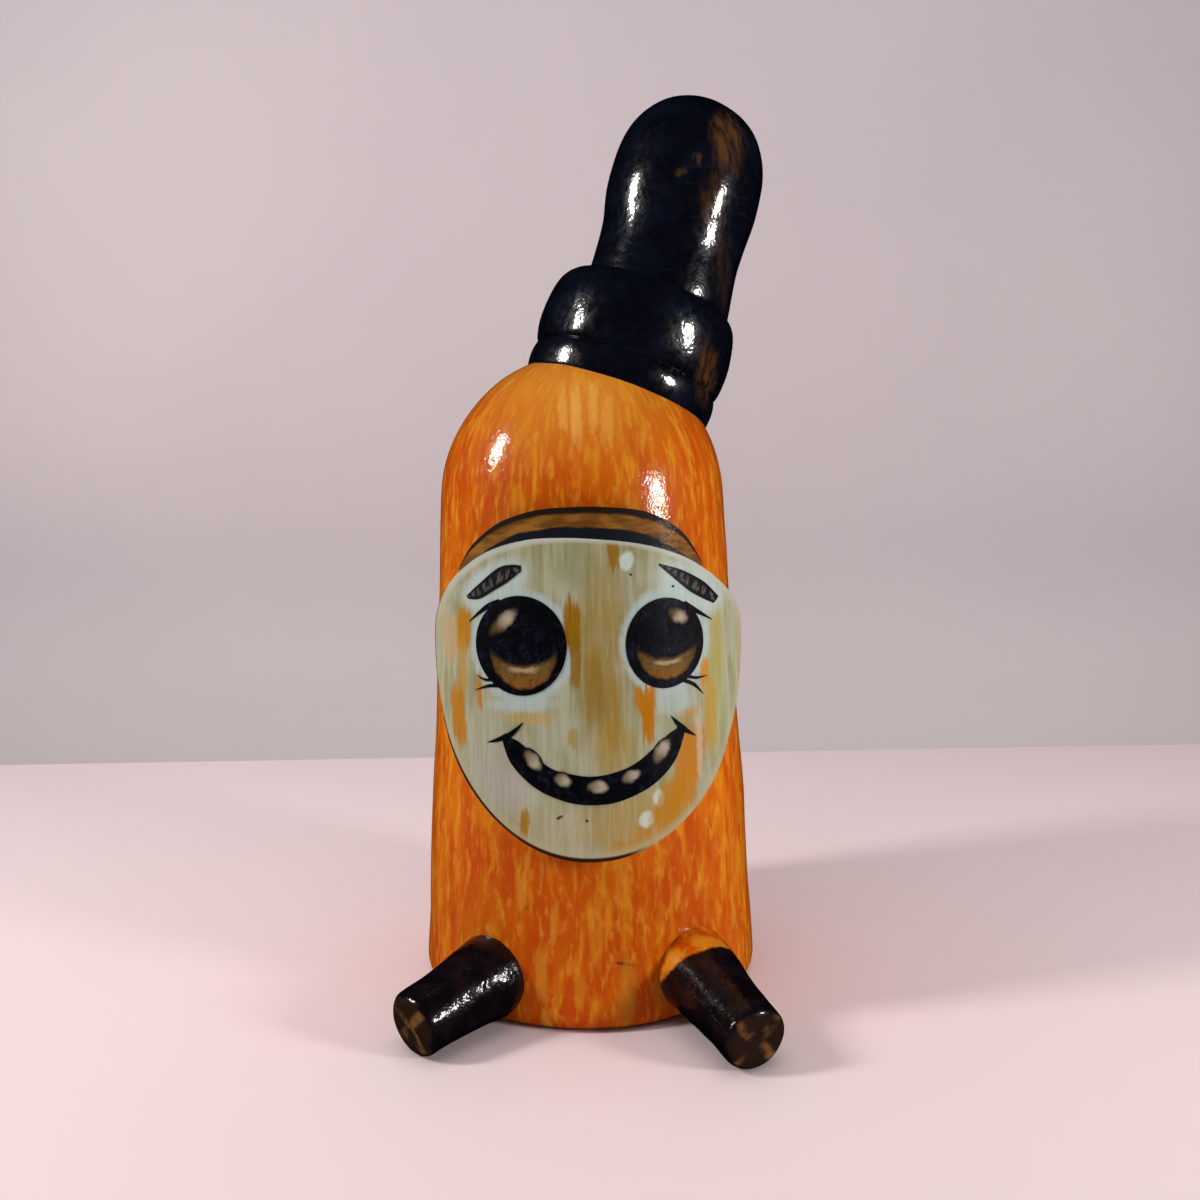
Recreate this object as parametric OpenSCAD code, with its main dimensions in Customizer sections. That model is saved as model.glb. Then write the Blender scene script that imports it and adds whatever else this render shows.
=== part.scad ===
// Painted clay figure built round a craft stick: body, face, hat and feet.
// Millimetres. The origin is the centre of the underside, +Z is up, the face looks along -Y.

/* [Body] */
// Diameter that the tapered flank would have at the table
base_d = 49.4; // [46:0.2:54]
// Diameter of the domed head end
dome_d = 41; // [38:0.5:44]
// Height of the centre of the dome
dome_z = 69.5; // [64:0.5:78]
// Radius of the rounded edge round the underside
base_round = 2; // [1:0.5:4]
// Thickness of the clay skin
shell_wall = 5; // [3.5:0.5:6.5]
// Thickness of the plug that closes the underside
base_t = 4; // [3:0.5:6]

/* [Armature stick] */
// Length of the craft stick
stick_l = 114; // [100:1:116]
// Width of the craft stick
stick_w = 10; // [6:0.5:11]
// Thickness of the craft stick
stick_t = 2; // [1.5:0.25:3]
// Lean of the stick towards +X, in degrees
stick_lean = 7; // [5:0.5:8.5]
// Lean of the stick towards +Y, in degrees
stick_back = 2.5; // [1:0.5:3.5]

/* [Face plate] */
// Height of the widest part of the face
face_z = 50; // [46:0.5:52]
// Turn of the face towards +X, in degrees
face_turn = 2.5; // [-6:0.5:6]
// Width of the plate, seen from the front
plate_w = 41.8; // [34:0.2:43]
// Height of the plate above its widest part
plate_up = 14.4; // [11:0.2:15.5]
// Height of the plate below its widest part
plate_down = 26.2; // [20:0.2:30]
// Thickness of the plate
plate_t = 2.75; // [2:0.25:4]
// Height that the lip stands above the plate
rim_h = 3.8; // [2.5:0.1:4.5]
// Thickness of the lip
rim_t = 2; // [1.5:0.1:2.8]
// How much narrower the lip is than the plate, at each side
rim_in = 1; // [0.6:0.1:2]
// Height above the meeting of lip and plate at which the lip's ends are cut off
rim_tip = 0.7; // [0.5:0.1:2]

/* [Face paint] */
// Thickness of the raised paint
paint_t = 0.25; // [0.15:0.05:0.5]
// Distance from the middle of the face to the middle of each eye
eye_x = 9; // [7.5:0.1:9.5]
// Height of the eyes above the widest part of the face
eye_up = 0.8; // [-1:0.1:2]
// Width of the left eye
left_eye_w = 11.2; // [9:0.1:12]
// Width of the right eye
right_eye_w = 10.6; // [8:0.1:12]
// Height of each eye
eye_h = 12.4; // [10:0.1:13]
// Width of the mouth from corner to corner
mouth_w = 23.6; // [18:0.2:25]
// Distance of the mouth's corners below the widest part of the face
mouth_down = 10.2; // [9:0.1:11.5]
// Drop of the lower lip below the corners
lower_lip = 8.6; // [7.5:0.1:9.5]
// Drop of the upper lip below the corners
upper_lip = 4.9; // [4:0.1:5.5]
// Width of each tooth
tooth_w = 2.8; // [2:0.1:3.2]
// Height of each tooth
tooth_h = 1.6; // [1:0.1:1.9]
// Angle between one tooth and the next, in degrees
tooth_step = 18.5; // [15:0.5:19]
// Length of each brow
brow_l = 7.8; // [5:0.1:8.4]
// Thickness of each brow
brow_t = 1.5; // [1:0.1:2]
// Gap between the top of each eye and its brow
brow_gap = 1.4; // [1:0.1:2]
// Distance of each brow's middle outside the middle of its eye
brow_out = 3.3; // [2:0.1:3.6]
// Slope of the left brow, in degrees
left_brow_slope = 30; // [10:1:35]
// Slope of the right brow, in degrees
right_brow_slope = 33; // [10:1:35]

/* [Hat] */
// Lean of the hat towards +X, in degrees
hat_lean = 20; // [14:0.5:24]
// Lean of the hat towards +Y, in degrees
hat_back = 5; // [2:0.5:8]
// Diameter of the hat where it seats on the dome
rim_d = 27.6; // [25:0.2:29]
// Height of the band
band_h = 4.3; // [3.5:0.1:5.5]
// Bulge of the band at half its height
band_bulge = 0.25; // [0.1:0.05:0.6]
// Depth of the crease between the band and the roll
crease = 0.4; // [0.2:0.1:1]
// Diameter of the roll at its fattest
roll_d = 28.6; // [27.6:0.2:31]
// Height of the roll
roll_h = 10.8; // [9:0.2:13]
// Height at which the roll is fattest
belly_h = 3.4; // [2.5:0.1:5]
// Diameter of the crown at its foot
crown_d = 21.6; // [20:0.2:23]
// Least ledge of the roll's top round the foot of the crown
neck_ledge = 0.3; // [0.2:0.1:0.8]
// Shift of the crown towards +X on the roll
crown_shift = 1; // [0:0.1:1.2]
// How much more upright the crown stands than the rest of the hat, in degrees
crown_upright = 5; // [0:0.5:7]
// Diameter of the crown's waist
waist_d = 20.8; // [19:0.2:22]
// Height of the crown's waist
waist_h = 7; // [5:0.5:9]
// Diameter of the crown's bulb
bulb_d = 22.6; // [20:0.2:24]
// Height at which the bulb is fattest
bulb_h = 16; // [13:0.5:18]
// Height of the crown
crown_h = 29.8; // [26:0.2:33]

/* [Feet] */
// Angle of the left foot's root from the front, in degrees
left_spread = 34; // [30:0.5:42]
// Angle of the right foot's root from the front, in degrees
right_spread = 35.5; // [30:0.5:42]
// Direction of the left foot from the front, in degrees
left_turn = 44; // [22:0.5:48]
// Direction of the right foot from the front, in degrees
right_turn = 23; // [12:0.5:45]
// Length of the left foot outside the body
left_foot_l = 13; // [12:0.5:18]
// Length of the right foot outside the body
right_foot_l = 16; // [12:0.5:18]
// Slope of the feet down to their toes, in degrees
foot_slope = 9; // [1:0.5:12]
// Diameter of a foot at the toe
toe_d = 8.6; // [8:0.2:10.5]
// Diameter of a foot at the body
root_d = 11.2; // [10:0.2:12]
// Radius of the rounded edge at the toe
toe_round = 1.2; // [0.6:0.1:2]
// Depth of the flat that each toe stands on
toe_flat = 0.3; // [0.2:0.05:0.5]
// Diameter of the peg in each foot
peg_d = 2.2; // [1.6:0.1:3]
// Length of each peg inside its foot
peg_in_foot = 7; // [5:0.5:9]

/* [Fits] */
// Glue line between pieces that are shaped to each other
seam = 0.05; // [0.03:0.01:0.1]
// Clearance round the stick, the core and the pegs
slip = 0.1; // [0.05:0.01:0.2]
// Clay left in the skin behind the end of each peg
peg_skin = 1; // [0.6:0.1:1.5]

/* [Hidden] */
$fn = 96;

// Steps of a rounded edge, of the dome and of each painted or pressed outline
edge_steps = 6;
dome_steps = 14;
outline_steps = 16;
curve_steps = 10;

dome_r = dome_d / 2;
// Angle between the flank and the vertical, tangent to the dome
taper = acos(dome_r / norm([base_d / 2, dome_z])) - atan2(dome_z, base_d / 2);
// How squarely the plate's shoulders, its chin and the crown's top are rounded
shoulder_power = 2.25;
chin_power = 2.15;
crown_power = 2.4;

rim_r = rim_d / 2;
// Distances along the hat's axis from the centre of the dome
rim_at = sqrt(dome_r * dome_r - rim_r * rim_r);
band_top = rim_at + band_h;
roll_top = band_top + roll_h;
neck_r = crown_d / 2 + crown_shift + neck_ledge;

// Inside an eye, as shares of its width and height: the highlight and the lit lower iris
glint_at = [0.18, 0.22];
glint_size = [0.24, 0.26];
iris_size = [0.66, 0.7];
iris_lid_at = 0.16;
iris_lid_size = [0.8, 0.72];
// Each lash, as shares of the eye: height at the eye's edge, rise to the tip
lashes = [[0.26, -0.02], [-0.3, 0.0], [-0.39, -0.05]];
lash_from = 0.3;
lash_to = 0.62;
lash_half = 0.035;

function flank_r(z, grow) = (dome_r + grow + (dome_z - z) * sin(taper)) / cos(taper);

function dome_arc(grow) = [for (i = [0 : dome_steps])
    let (a = taper + (90 - taper) * i / dome_steps)
    [(dome_r + grow) * cos(a), dome_z + (dome_r + grow) * sin(a)]];

function base_arc(grow) = [for (i = [0 : edge_steps])
    let (a = -90 + (90 + taper) * i / edge_steps)
    [flank_r(base_round, -base_round) + (base_round + grow) * cos(a),
     base_round + (base_round + grow) * sin(a)]];

// A quarter of a superellipse from [w, 0] towards [0, h]
function quarter(w, h, power) = [for (i = [0 : outline_steps - 1])
    let (a = 90 * i / outline_steps)
    [w * pow(cos(a), 2 / power), h * pow(sin(a), 2 / power)]];

function flip_x(points) = [for (p = points) [-p[0], p[1]]];
function flip_y(points) = [for (p = points) [p[0], -p[1]]];
function reversed(points) = [for (i = [len(points) - 1 : -1 : 0]) points[i]];

// An egg outline from its half width and its heights above and below its widest part
function egg(half, up, down) =
    let (top = quarter(half, up, shoulder_power),
         chin = flip_y(quarter(half, down, chin_power)))
    concat(top, [[0, up]], flip_x(reversed(top)),
           [for (i = [1 : len(chin) - 1]) flip_x(chin)[i]], [[0, -down]],
           reversed([for (i = [1 : len(chin) - 1]) chin[i]]));
function plate_outline(grow) = egg(plate_w / 2 + grow, plate_up + grow, plate_down + grow);
function rim_outline() = egg(plate_w / 2 - rim_in, plate_up + rim_h, plate_down - rim_h);

// Height above the widest part at which the lip's outline meets the plate's
function rim_meets() =
    let (q = pow(plate_w / (plate_w - 2 * rim_in), shoulder_power))
    pow((1 - q) / (pow(plate_up + rim_h, -shoulder_power) - q * pow(plate_up, -shoulder_power)),
        1 / shoulder_power);

// Angle round the body at which a point of the plate's front edge lies
function wrap_angle(p) = asin(p[0] / flank_r(face_z + p[1], seam + plate_t));

function ellipse(w, h) = [for (i = [0 : 4 * curve_steps - 1])
    let (a = 90 * i / curve_steps) [w / 2 * cos(a), h / 2 * sin(a)]];

function capsule(l, w, grow) = concat(
    [for (i = [0 : outline_steps]) let (a = 180 * i / outline_steps)
        [(w / 2 + grow) * cos(a), l - w / 2 + (w / 2 + grow) * sin(a)]],
    [for (i = [0 : outline_steps]) let (a = 180 + 180 * i / outline_steps)
        [(w / 2 + grow) * cos(a), w / 2 + (w / 2 + grow) * sin(a)]]);

// Radius of an arc from its half chord and its drop
function arc_r(half, drop) = (half * half + drop * drop) / (2 * drop);

// Eases from 0 to 1 with a level start and end
function ease(s) = (1 - cos(180 * s)) / 2;

// Outside of the body, grown outwards
module body_form(grow) {
    rotate_extrude()
        polygon(concat([[0, -grow]], base_arc(grow), dome_arc(grow)));
}

// Inside of the body, grown outwards, from the given height upwards
module hollow_form(grow, from) {
    rotate_extrude()
        polygon(concat([[0, from], [flank_r(from, grow), from]], dome_arc(grow)));
}

module stick_form(grow) {
    foot_z = base_t + stick_t / 2 * sin(stick_lean) + slip;
    translate([0, 0, foot_z])
        rotate([-stick_back, stick_lean, 0])
            translate([-stick_t / 2 - grow, 0, 0])
                rotate([90, 0, 90])
                    linear_extrude(stick_t + 2 * grow)
                        polygon(capsule(stick_l, stick_w, grow));
}

module armature_stick() {
    color("burlywood")
        stick_form(0);
}

module foil_core() {
    color("silver")
        difference() {
            hollow_form(-shell_wall - slip, base_t);
            stick_form(slip);
        }
}

module base_disc() {
    color("darkorange")
        cylinder(h = base_t, r1 = flank_r(0, -shell_wall - slip),
                 r2 = flank_r(base_t, -shell_wall - slip));
}

module body_shell() {
    color("darkorange")
        difference() {
            body_form(0);
            hollow_form(-shell_wall, -base_round);
            stick_form(slip);
            at_left_foot() peg_form(slip);
            at_right_foot() peg_form(slip);
        }
}

// A block with the outline's edge square to the body all round, through the layers of the face
module wedge(outline) {
    n = len(outline);
    middle = len(outline) * 4;
    reach = base_d / 2 + plate_t;
    rings = [dome_r / 2, dome_r - plate_t, reach + plate_t, reach * 1.6];
    polyhedron(
        points = concat(
            [for (r = rings, p = outline) let (a = wrap_angle(p)) [r * sin(a), -r * cos(a), p[1]]],
            [[0, -rings[0], 0], [0, -rings[3], 0]]),
        faces = [for (i = [0 : n - 1]) let (j = (i + 1) % n) each concat(
            [[middle, i, j], [middle + 1, 3 * n + j, 3 * n + i]],
            [for (k = [0, n, 2 * n]) each [[k + i, k + n + i, k + j], [k + j, k + n + i, k + n + j]]])]);
}

// A flat drawing sent straight through the front of the body
module drawn() {
    rotate([90, 0, 0])
        linear_extrude(base_d)
            children();
}

// The layer round the body, at the given height above it, that a block of the face cuts out
module face_layer(from, thickness) {
    difference() {
        intersection() {
            rotate([0, 0, face_turn])
                translate([0, 0, face_z])
                    children();
            body_form(from + thickness);
        }
        body_form(from);
    }
}

module face_plate() {
    color("wheat")
        face_layer(seam, plate_t)
            wedge(plate_outline(0));
}

module face_rim() {
    color("darkgoldenrod")
        face_layer(seam, rim_t)
            difference() {
                wedge(rim_outline());
                wedge(plate_outline(seam));
                translate([-base_d, -2 * base_d, rim_meets() + rim_tip - 2 * base_d])
                    cube(2 * base_d);
            }
}

// One eye: a dark disc with its highlight and its lower iris left bare, and its lashes
module eye(w, side) {
    difference() {
        polygon(ellipse(w, eye_h));
        translate([side * w * glint_at[0], eye_h * glint_at[1]])
            polygon(ellipse(w * glint_size[0], eye_h * glint_size[1]));
        difference() {
            polygon(ellipse(w * iris_size[0], eye_h * iris_size[1]));
            translate([0, eye_h * iris_lid_at])
                polygon(ellipse(w * iris_lid_size[0], eye_h * iris_lid_size[1]));
        }
    }
    for (lash = lashes)
        polygon([[side * w * lash_from, eye_h * (lash[0] + lash_half)],
                 [side * w * lash_to, eye_h * (lash[0] + lash[1])],
                 [side * w * lash_from, eye_h * (lash[0] - lash_half)]]);
}

module brow(slope) {
    rotate(slope)
        polygon(ellipse(brow_l, brow_t));
}

// The smile: the space between two arcs, with the teeth left bare
module mouth() {
    half = mouth_w / 2;
    low_r = arc_r(half, lower_lip);
    high_r = arc_r(half, upper_lip);
    middle = (lower_lip + upper_lip) / 2;
    tooth_r = arc_r(half, middle);
    difference() {
        translate([0, low_r - lower_lip]) circle(low_r);
        translate([0, high_r - upper_lip]) circle(high_r);
        for (i = [-2 : 2])
            translate([0, tooth_r - middle])
                rotate(i * tooth_step)
                    translate([0, -tooth_r])
                        polygon(ellipse(tooth_w, tooth_h));
    }
}

module face_paint() {
    brow_up = eye_up + eye_h / 2 + brow_gap + brow_t / 2;
    color("midnightblue")
        face_layer(2 * seam + plate_t, paint_t)
            drawn() {
                translate([-eye_x, eye_up]) eye(left_eye_w, -1);
                translate([eye_x, eye_up]) eye(right_eye_w, 1);
                translate([-eye_x - brow_out, brow_up]) brow(left_brow_slope);
                translate([eye_x + brow_out, brow_up]) brow(-right_brow_slope);
                translate([0, -mouth_down]) mouth();
            }
}

// Stands what it is given on the dome, along the hat's axis
module on_hat_axis() {
    translate([0, 0, dome_z])
        rotate([-hat_back, hat_lean, 0])
            children();
}

module hat_band() {
    color("#15161c")
        difference() {
            on_hat_axis()
                rotate_extrude()
                    polygon(concat([[0, rim_at - crease], [rim_r, rim_at - crease]],
                        [for (i = [0 : curve_steps]) let (s = i / curve_steps)
                            [rim_r + band_bulge * sin(180 * s) - crease * pow(s, 6),
                             rim_at + band_h * s]],
                        [[0, band_top]]));
            body_form(seam);
            stick_form(slip);
        }
}

module hat_roll() {
    foot_r = rim_r - crease;
    roll_r = roll_d / 2;
    color("#15161c")
        difference() {
            on_hat_axis()
                rotate_extrude()
                    polygon(concat([[0, band_top]],
                        [for (i = [0 : curve_steps]) let (a = 90 * i / curve_steps)
                            [foot_r + (roll_r - foot_r) * sin(a),
                             band_top + belly_h * (1 - cos(a))]],
                        [for (i = [1 : curve_steps]) let (a = 90 * i / curve_steps)
                            [neck_r + (roll_r - neck_r) * cos(a),
                             band_top + belly_h + (roll_h - belly_h) * sin(a)]],
                        [[0, roll_top]]));
            body_form(seam);
            stick_form(slip);
        }
}

// The crown upright at its foot, carried a little below it
module crown_form() {
    foot_r = crown_d / 2;
    waist_r = waist_d / 2;
    bulb_r = bulb_d / 2;
    rotate_extrude()
        polygon(concat([[0, -waist_h], [foot_r, -waist_h]],
            [for (i = [0 : curve_steps]) let (s = i / curve_steps)
                [foot_r + (waist_r - foot_r) * ease(s), waist_h * s]],
            [for (i = [1 : curve_steps]) let (s = i / curve_steps)
                [waist_r + (bulb_r - waist_r) * ease(s), waist_h + (bulb_h - waist_h) * s]],
            [for (i = [1 : 2 * curve_steps]) let (a = 45 * i / curve_steps)
                [bulb_r * pow(cos(a), 2 / crown_power),
                 bulb_h + (crown_h - bulb_h) * pow(sin(a), 2 / crown_power)]]));
}

module hat_crown() {
    color("#15161c")
        difference() {
            on_hat_axis()
                translate([crown_shift, 0, roll_top])
                    difference() {
                        rotate([0, -crown_upright, 0])
                            crown_form();
                        translate([0, 0, -crown_h])
                            cylinder(h = crown_h, r = base_d);
                    }
            stick_form(slip);
        }
}

// Sets what it is given on the body's surface, with +Z along a foot towards its toe
module at_foot(spread, turn, length) {
    root_z = toe_d / 2 * cos(foot_slope) + length * sin(foot_slope) - toe_flat;
    root_r = flank_r(root_z, 0);
    translate([root_r * sin(spread), -root_r * cos(spread), root_z])
        rotate([90 + foot_slope, 0, turn])
            children();
}

module at_left_foot() {
    at_foot(-left_spread, -left_turn, left_foot_l) children();
}

module at_right_foot() {
    at_foot(right_spread, right_turn, right_foot_l) children();
}

module peg_form(grow) {
    in_skin = shell_wall - peg_skin;
    translate([0, 0, -in_skin - grow])
        cylinder(h = in_skin + peg_in_foot + 2 * grow, r = peg_d / 2 + grow);
}

// A log from inside the body out to a rounded toe
module foot_form(length) {
    toe_r = toe_d / 2;
    rotate_extrude()
        polygon(concat([[0, -root_d / 2], [root_d / 2, -root_d / 2], [root_d / 2, 0]],
            [for (i = [0 : edge_steps]) let (a = 90 * i / edge_steps)
                [toe_r - toe_round + toe_round * cos(a),
                 length - toe_round + toe_round * sin(a)]],
            [[0, length]]));
}

module above_table() {
    reach = 2 * base_d;
    translate([-reach / 2, -reach, 0])
        cube([reach, reach, reach]);
}

module left_foot() {
    color("#1c1a1d")
        difference() {
            intersection() {
                at_left_foot() foot_form(left_foot_l);
                above_table();
            }
            body_form(seam);
            at_left_foot() peg_form(slip);
        }
}

module right_foot() {
    color("#1c1a1d")
        difference() {
            intersection() {
                at_right_foot() foot_form(right_foot_l);
                above_table();
            }
            body_form(seam);
            at_right_foot() peg_form(slip);
        }
}

module left_foot_peg() {
    color("burlywood")
        at_left_foot() peg_form(0);
}

module right_foot_peg() {
    color("burlywood")
        at_right_foot() peg_form(0);
}

armature_stick();
foil_core();
base_disc();
body_shell();
face_plate();
face_rim();
face_paint();
hat_band();
hat_roll();
hat_crown();
left_foot();
right_foot();
left_foot_peg();
right_foot_peg();
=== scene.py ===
import math

import bpy
from mathutils import Matrix, Vector


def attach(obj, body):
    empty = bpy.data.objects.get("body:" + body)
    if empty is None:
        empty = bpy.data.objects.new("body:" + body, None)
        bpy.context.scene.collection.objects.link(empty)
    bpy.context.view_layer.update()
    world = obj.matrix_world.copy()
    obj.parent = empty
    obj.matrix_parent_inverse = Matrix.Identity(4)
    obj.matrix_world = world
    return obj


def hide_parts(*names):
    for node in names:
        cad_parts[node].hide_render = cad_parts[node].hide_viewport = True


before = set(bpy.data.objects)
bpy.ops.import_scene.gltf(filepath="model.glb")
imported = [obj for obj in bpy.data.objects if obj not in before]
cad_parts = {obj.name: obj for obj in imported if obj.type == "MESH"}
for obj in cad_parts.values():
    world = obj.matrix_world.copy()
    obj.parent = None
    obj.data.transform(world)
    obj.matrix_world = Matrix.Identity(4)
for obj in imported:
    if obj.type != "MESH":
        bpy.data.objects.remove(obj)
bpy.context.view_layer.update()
mm = 0.001  # every size below is in millimetres, Blender works in metres
tipRadius = 0.05  # a stack of rings ends in this small circle, which is then merged to a point
print("frame loaded,", len(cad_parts), "CAD nodes")


# hand tools: picking up a piece, modifiers, cleaning

def freshStart():
    if bpy.context.mode != "OBJECT":
        bpy.ops.object.mode_set(mode="OBJECT")
    bpy.ops.object.select_all(action="DESELECT")


def addNamed(name, operator, **settings):  # adds one object with an operator and names it
    freshStart()
    operator(**settings)
    piece = bpy.context.active_object
    piece.name = name
    return piece


def takeUp(piece):
    freshStart()
    piece.select_set(True)
    bpy.context.view_layer.objects.active = piece


def editAll(piece):
    takeUp(piece)
    bpy.ops.object.mode_set(mode="EDIT")
    bpy.ops.mesh.select_mode(type="VERT")
    bpy.ops.mesh.select_all(action="SELECT")


def pickVerts(piece, test):  # leaves the piece in edit mode with those corners selected
    editAll(piece)
    bpy.ops.mesh.select_all(action="DESELECT")
    bpy.ops.object.mode_set(mode="OBJECT")
    for vertex in piece.data.vertices:
        vertex.select = test(vertex.co)
    bpy.ops.object.mode_set(mode="EDIT")


def applyModifier(piece, kind, **settings):
    takeUp(piece)
    modifier = piece.modifiers.new(kind.title(), kind)
    for name, value in settings.items():
        setattr(modifier, name, value)
    bpy.ops.object.modifier_apply(modifier=modifier.name)


def settle(piece, matrix):  # puts the piece in place and leaves its object at the origin
    takeUp(piece)
    piece.matrix_world = matrix
    bpy.ops.object.transform_apply(location=True, rotation=True, scale=True)


def cleanUp(piece, angle=40):
    editAll(piece)
    bpy.ops.mesh.remove_doubles(threshold=0.002 * mm)
    bpy.ops.mesh.normals_make_consistent(inside=False)
    bpy.ops.object.mode_set(mode="OBJECT")
    bpy.ops.object.shade_smooth_by_angle(angle=math.radians(angle))


def addLumps(piece, size, height):  # the unevenness that fingers leave in clay
    texture = bpy.data.textures.new(piece.name + "Lumps", "CLOUDS")
    texture.noise_scale = size * mm
    texture.noise_depth = 1
    applyModifier(piece, "DISPLACE", texture=texture, strength=height * mm, mid_level=0.5,
                  texture_coords="LOCAL")


def standOnTable(piece):  # presses flat what the lumps pushed below the table
    pickVerts(piece, lambda co: co.z < 0)
    bpy.ops.transform.resize(value=(1, 1, 0), center_override=(0, 0, 0))
    bpy.ops.object.mode_set(mode="OBJECT")


def stackRings(name, rings, sides=96):  # a disc, extruded and scaled from ring to ring, closed to a point
    height, radius = rings[0]
    piece = addNamed(name, bpy.ops.mesh.primitive_circle_add, vertices=sides, radius=radius * mm,
                     fill_type="NGON")
    editAll(piece)
    bpy.ops.transform.translate(value=(0, 0, height * mm))
    for nextHeight, nextRadius in rings[1:]:
        rise = (nextHeight - height) * mm
        bpy.ops.mesh.extrude_region_move(TRANSFORM_OT_translate={"value": (0, 0, rise)})
        grow = nextRadius / radius
        bpy.ops.transform.resize(value=(grow, grow, 1), center_override=(0, 0, nextHeight * mm))
        height, radius = nextHeight, nextRadius
    bpy.ops.mesh.merge(type="CENTER")
    bpy.ops.object.mode_set(mode="OBJECT")
    return piece


def finishPiece(piece, material, slotName, *nodes):
    piece.data.materials.clear()
    piece.data.materials.append(material)
    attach(piece, "root")
    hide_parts(*nodes)


# material tools

def srgb(code):
    shades = [int(code[i:i + 2], 16) / 255 for i in (1, 3, 5)]
    return [s / 12.92 if s <= 0.04045 else ((s + 0.055) / 1.055) ** 2.4 for s in shades] + [1]


def addNode(tree, kind, feeds=None, **settings):
    node = tree.nodes.new("ShaderNode" + kind)
    for name, value in settings.items():
        setattr(node, name, value)
    for name, value in (feeds or {}).items():
        if isinstance(value, bpy.types.NodeSocket):
            tree.links.new(value, node.inputs[name])
        else:
            node.inputs[name].default_value = value
    return node


def newMaterial(name, sockets):  # the material, its tree, its shader and its Object coordinates in mm
    material = bpy.data.materials.new(name)
    material.use_nodes = True
    tree = material.node_tree
    shader = tree.nodes["Principled BSDF"]
    for socket, value in sockets.items():
        shader.inputs[socket].default_value = value
    where = addNode(tree, "TexCoord")
    place = addNode(tree, "VectorMath", {0: where.outputs["Object"], "Scale": 1 / mm}, operation="SCALE")
    return material, tree, shader, place.outputs[0]


def shaken(tree, place, size, reach):  # coordinates shaken by noise, so that painted edges wander
    noise = addNode(tree, "TexNoise", {"Vector": place, "Scale": 1 / size, "Detail": 3.0})
    even = addNode(tree, "VectorMath", {0: noise.outputs["Color"], 1: (0.5, 0.5, 0.5)},
                   operation="SUBTRACT")
    push = addNode(tree, "VectorMath", {0: even.outputs[0], "Scale": reach}, operation="SCALE")
    return addNode(tree, "VectorMath", {0: place, 1: push.outputs[0]}, operation="ADD").outputs[0]


def streaks(tree, place, wide, tall, detail, shift=0.0):  # noise drawn out upwards as by a brush, in mm
    space = addNode(tree, "Mapping", {"Vector": place, "Location": (shift, 0, 0),
                                      "Scale": (1 / wide, 1 / wide, 1 / tall)})
    noise = addNode(tree, "TexNoise", {"Vector": space.outputs[0], "Scale": 1.0, "Detail": detail})
    return noise.outputs["Fac"]


def combed(tree, place, reach):  # coordinates whose height differs from hair to hair of a lifted brush
    hair = streaks(tree, place, 0.45, 9.0, 3.0)
    height = addNode(tree, "MapRange", {"Value": hair, "To Min": -reach, "To Max": reach})
    lift = addNode(tree, "CombineXYZ", {"Z": height.outputs[0]})
    return addNode(tree, "VectorMath", {0: shaken(tree, place, 1.2, 0.5), 1: lift.outputs[0]}).outputs[0]


def frontOval(tree, place, centre, half, tilt=0.0, square=False):
    # coordinates in an oval seen from the front, at any depth, and how far out they lie, its rim at 1
    anyDepth = 1000
    spot = addNode(tree, "Mapping", {"Vector": place, "Location": (centre[0], 0, centre[1]),
                                     "Rotation": (0, math.radians(-tilt), 0),
                                     "Scale": (half[0], anyDepth, half[1])}, vector_type="TEXTURE").outputs[0]
    if square:  # squared coordinates give a stroke square ends
        spot = addNode(tree, "VectorMath", {0: spot, 1: spot}, operation="MULTIPLY").outputs[0]
    return spot, addNode(tree, "VectorMath", {0: spot}, operation="LENGTH").outputs["Value"]


def fromMiddle(tree, coordinate):  # how far a spot of the UV map lies from the middle
    off = addNode(tree, "Math", {0: coordinate, 1: 0.5}, operation="SUBTRACT")
    return addNode(tree, "Math", {0: off.outputs[0]}, operation="ABSOLUTE").outputs[0]


def maskWhere(tree, value, start, full, cover=1.0, within=None):
    # a soft-edged mask from the value where it starts to the value where it is full, inside another mask
    mask = addNode(tree, "MapRange", {"Value": value, "From Min": start, "From Max": full, "To Max": cover},
                   interpolation_type="SMOOTHSTEP").outputs[0]
    if within is None:
        return mask
    return addNode(tree, "Math", {0: mask, 1: within}, operation="MULTIPLY").outputs[0]


def paintWhere(tree, colour, coat, value, start, full, cover=1.0, within=None):
    # brushes a coat, a hex value or a colour mixed before, over what is there
    mask = maskWhere(tree, value, start, full, cover, within)
    over = srgb(coat) if isinstance(coat, str) else coat
    return addNode(tree, "Mix", {0: mask, 6: colour, 7: over}, data_type="RGBA").outputs[2]


def dabOver(tree, colour, place, dab, hairs=None):  # one mark seen from the front, broken up by a dry brush
    x, z, halfWide, halfHigh, tilt, code, cover, soft = dab
    reach = frontOval(tree, place, (x, z), (halfWide, halfHigh), tilt, square=hairs is not None)[1]
    return paintWhere(tree, colour, code, reach, 1 + soft, 1 - soft, cover, hairs)


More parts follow.
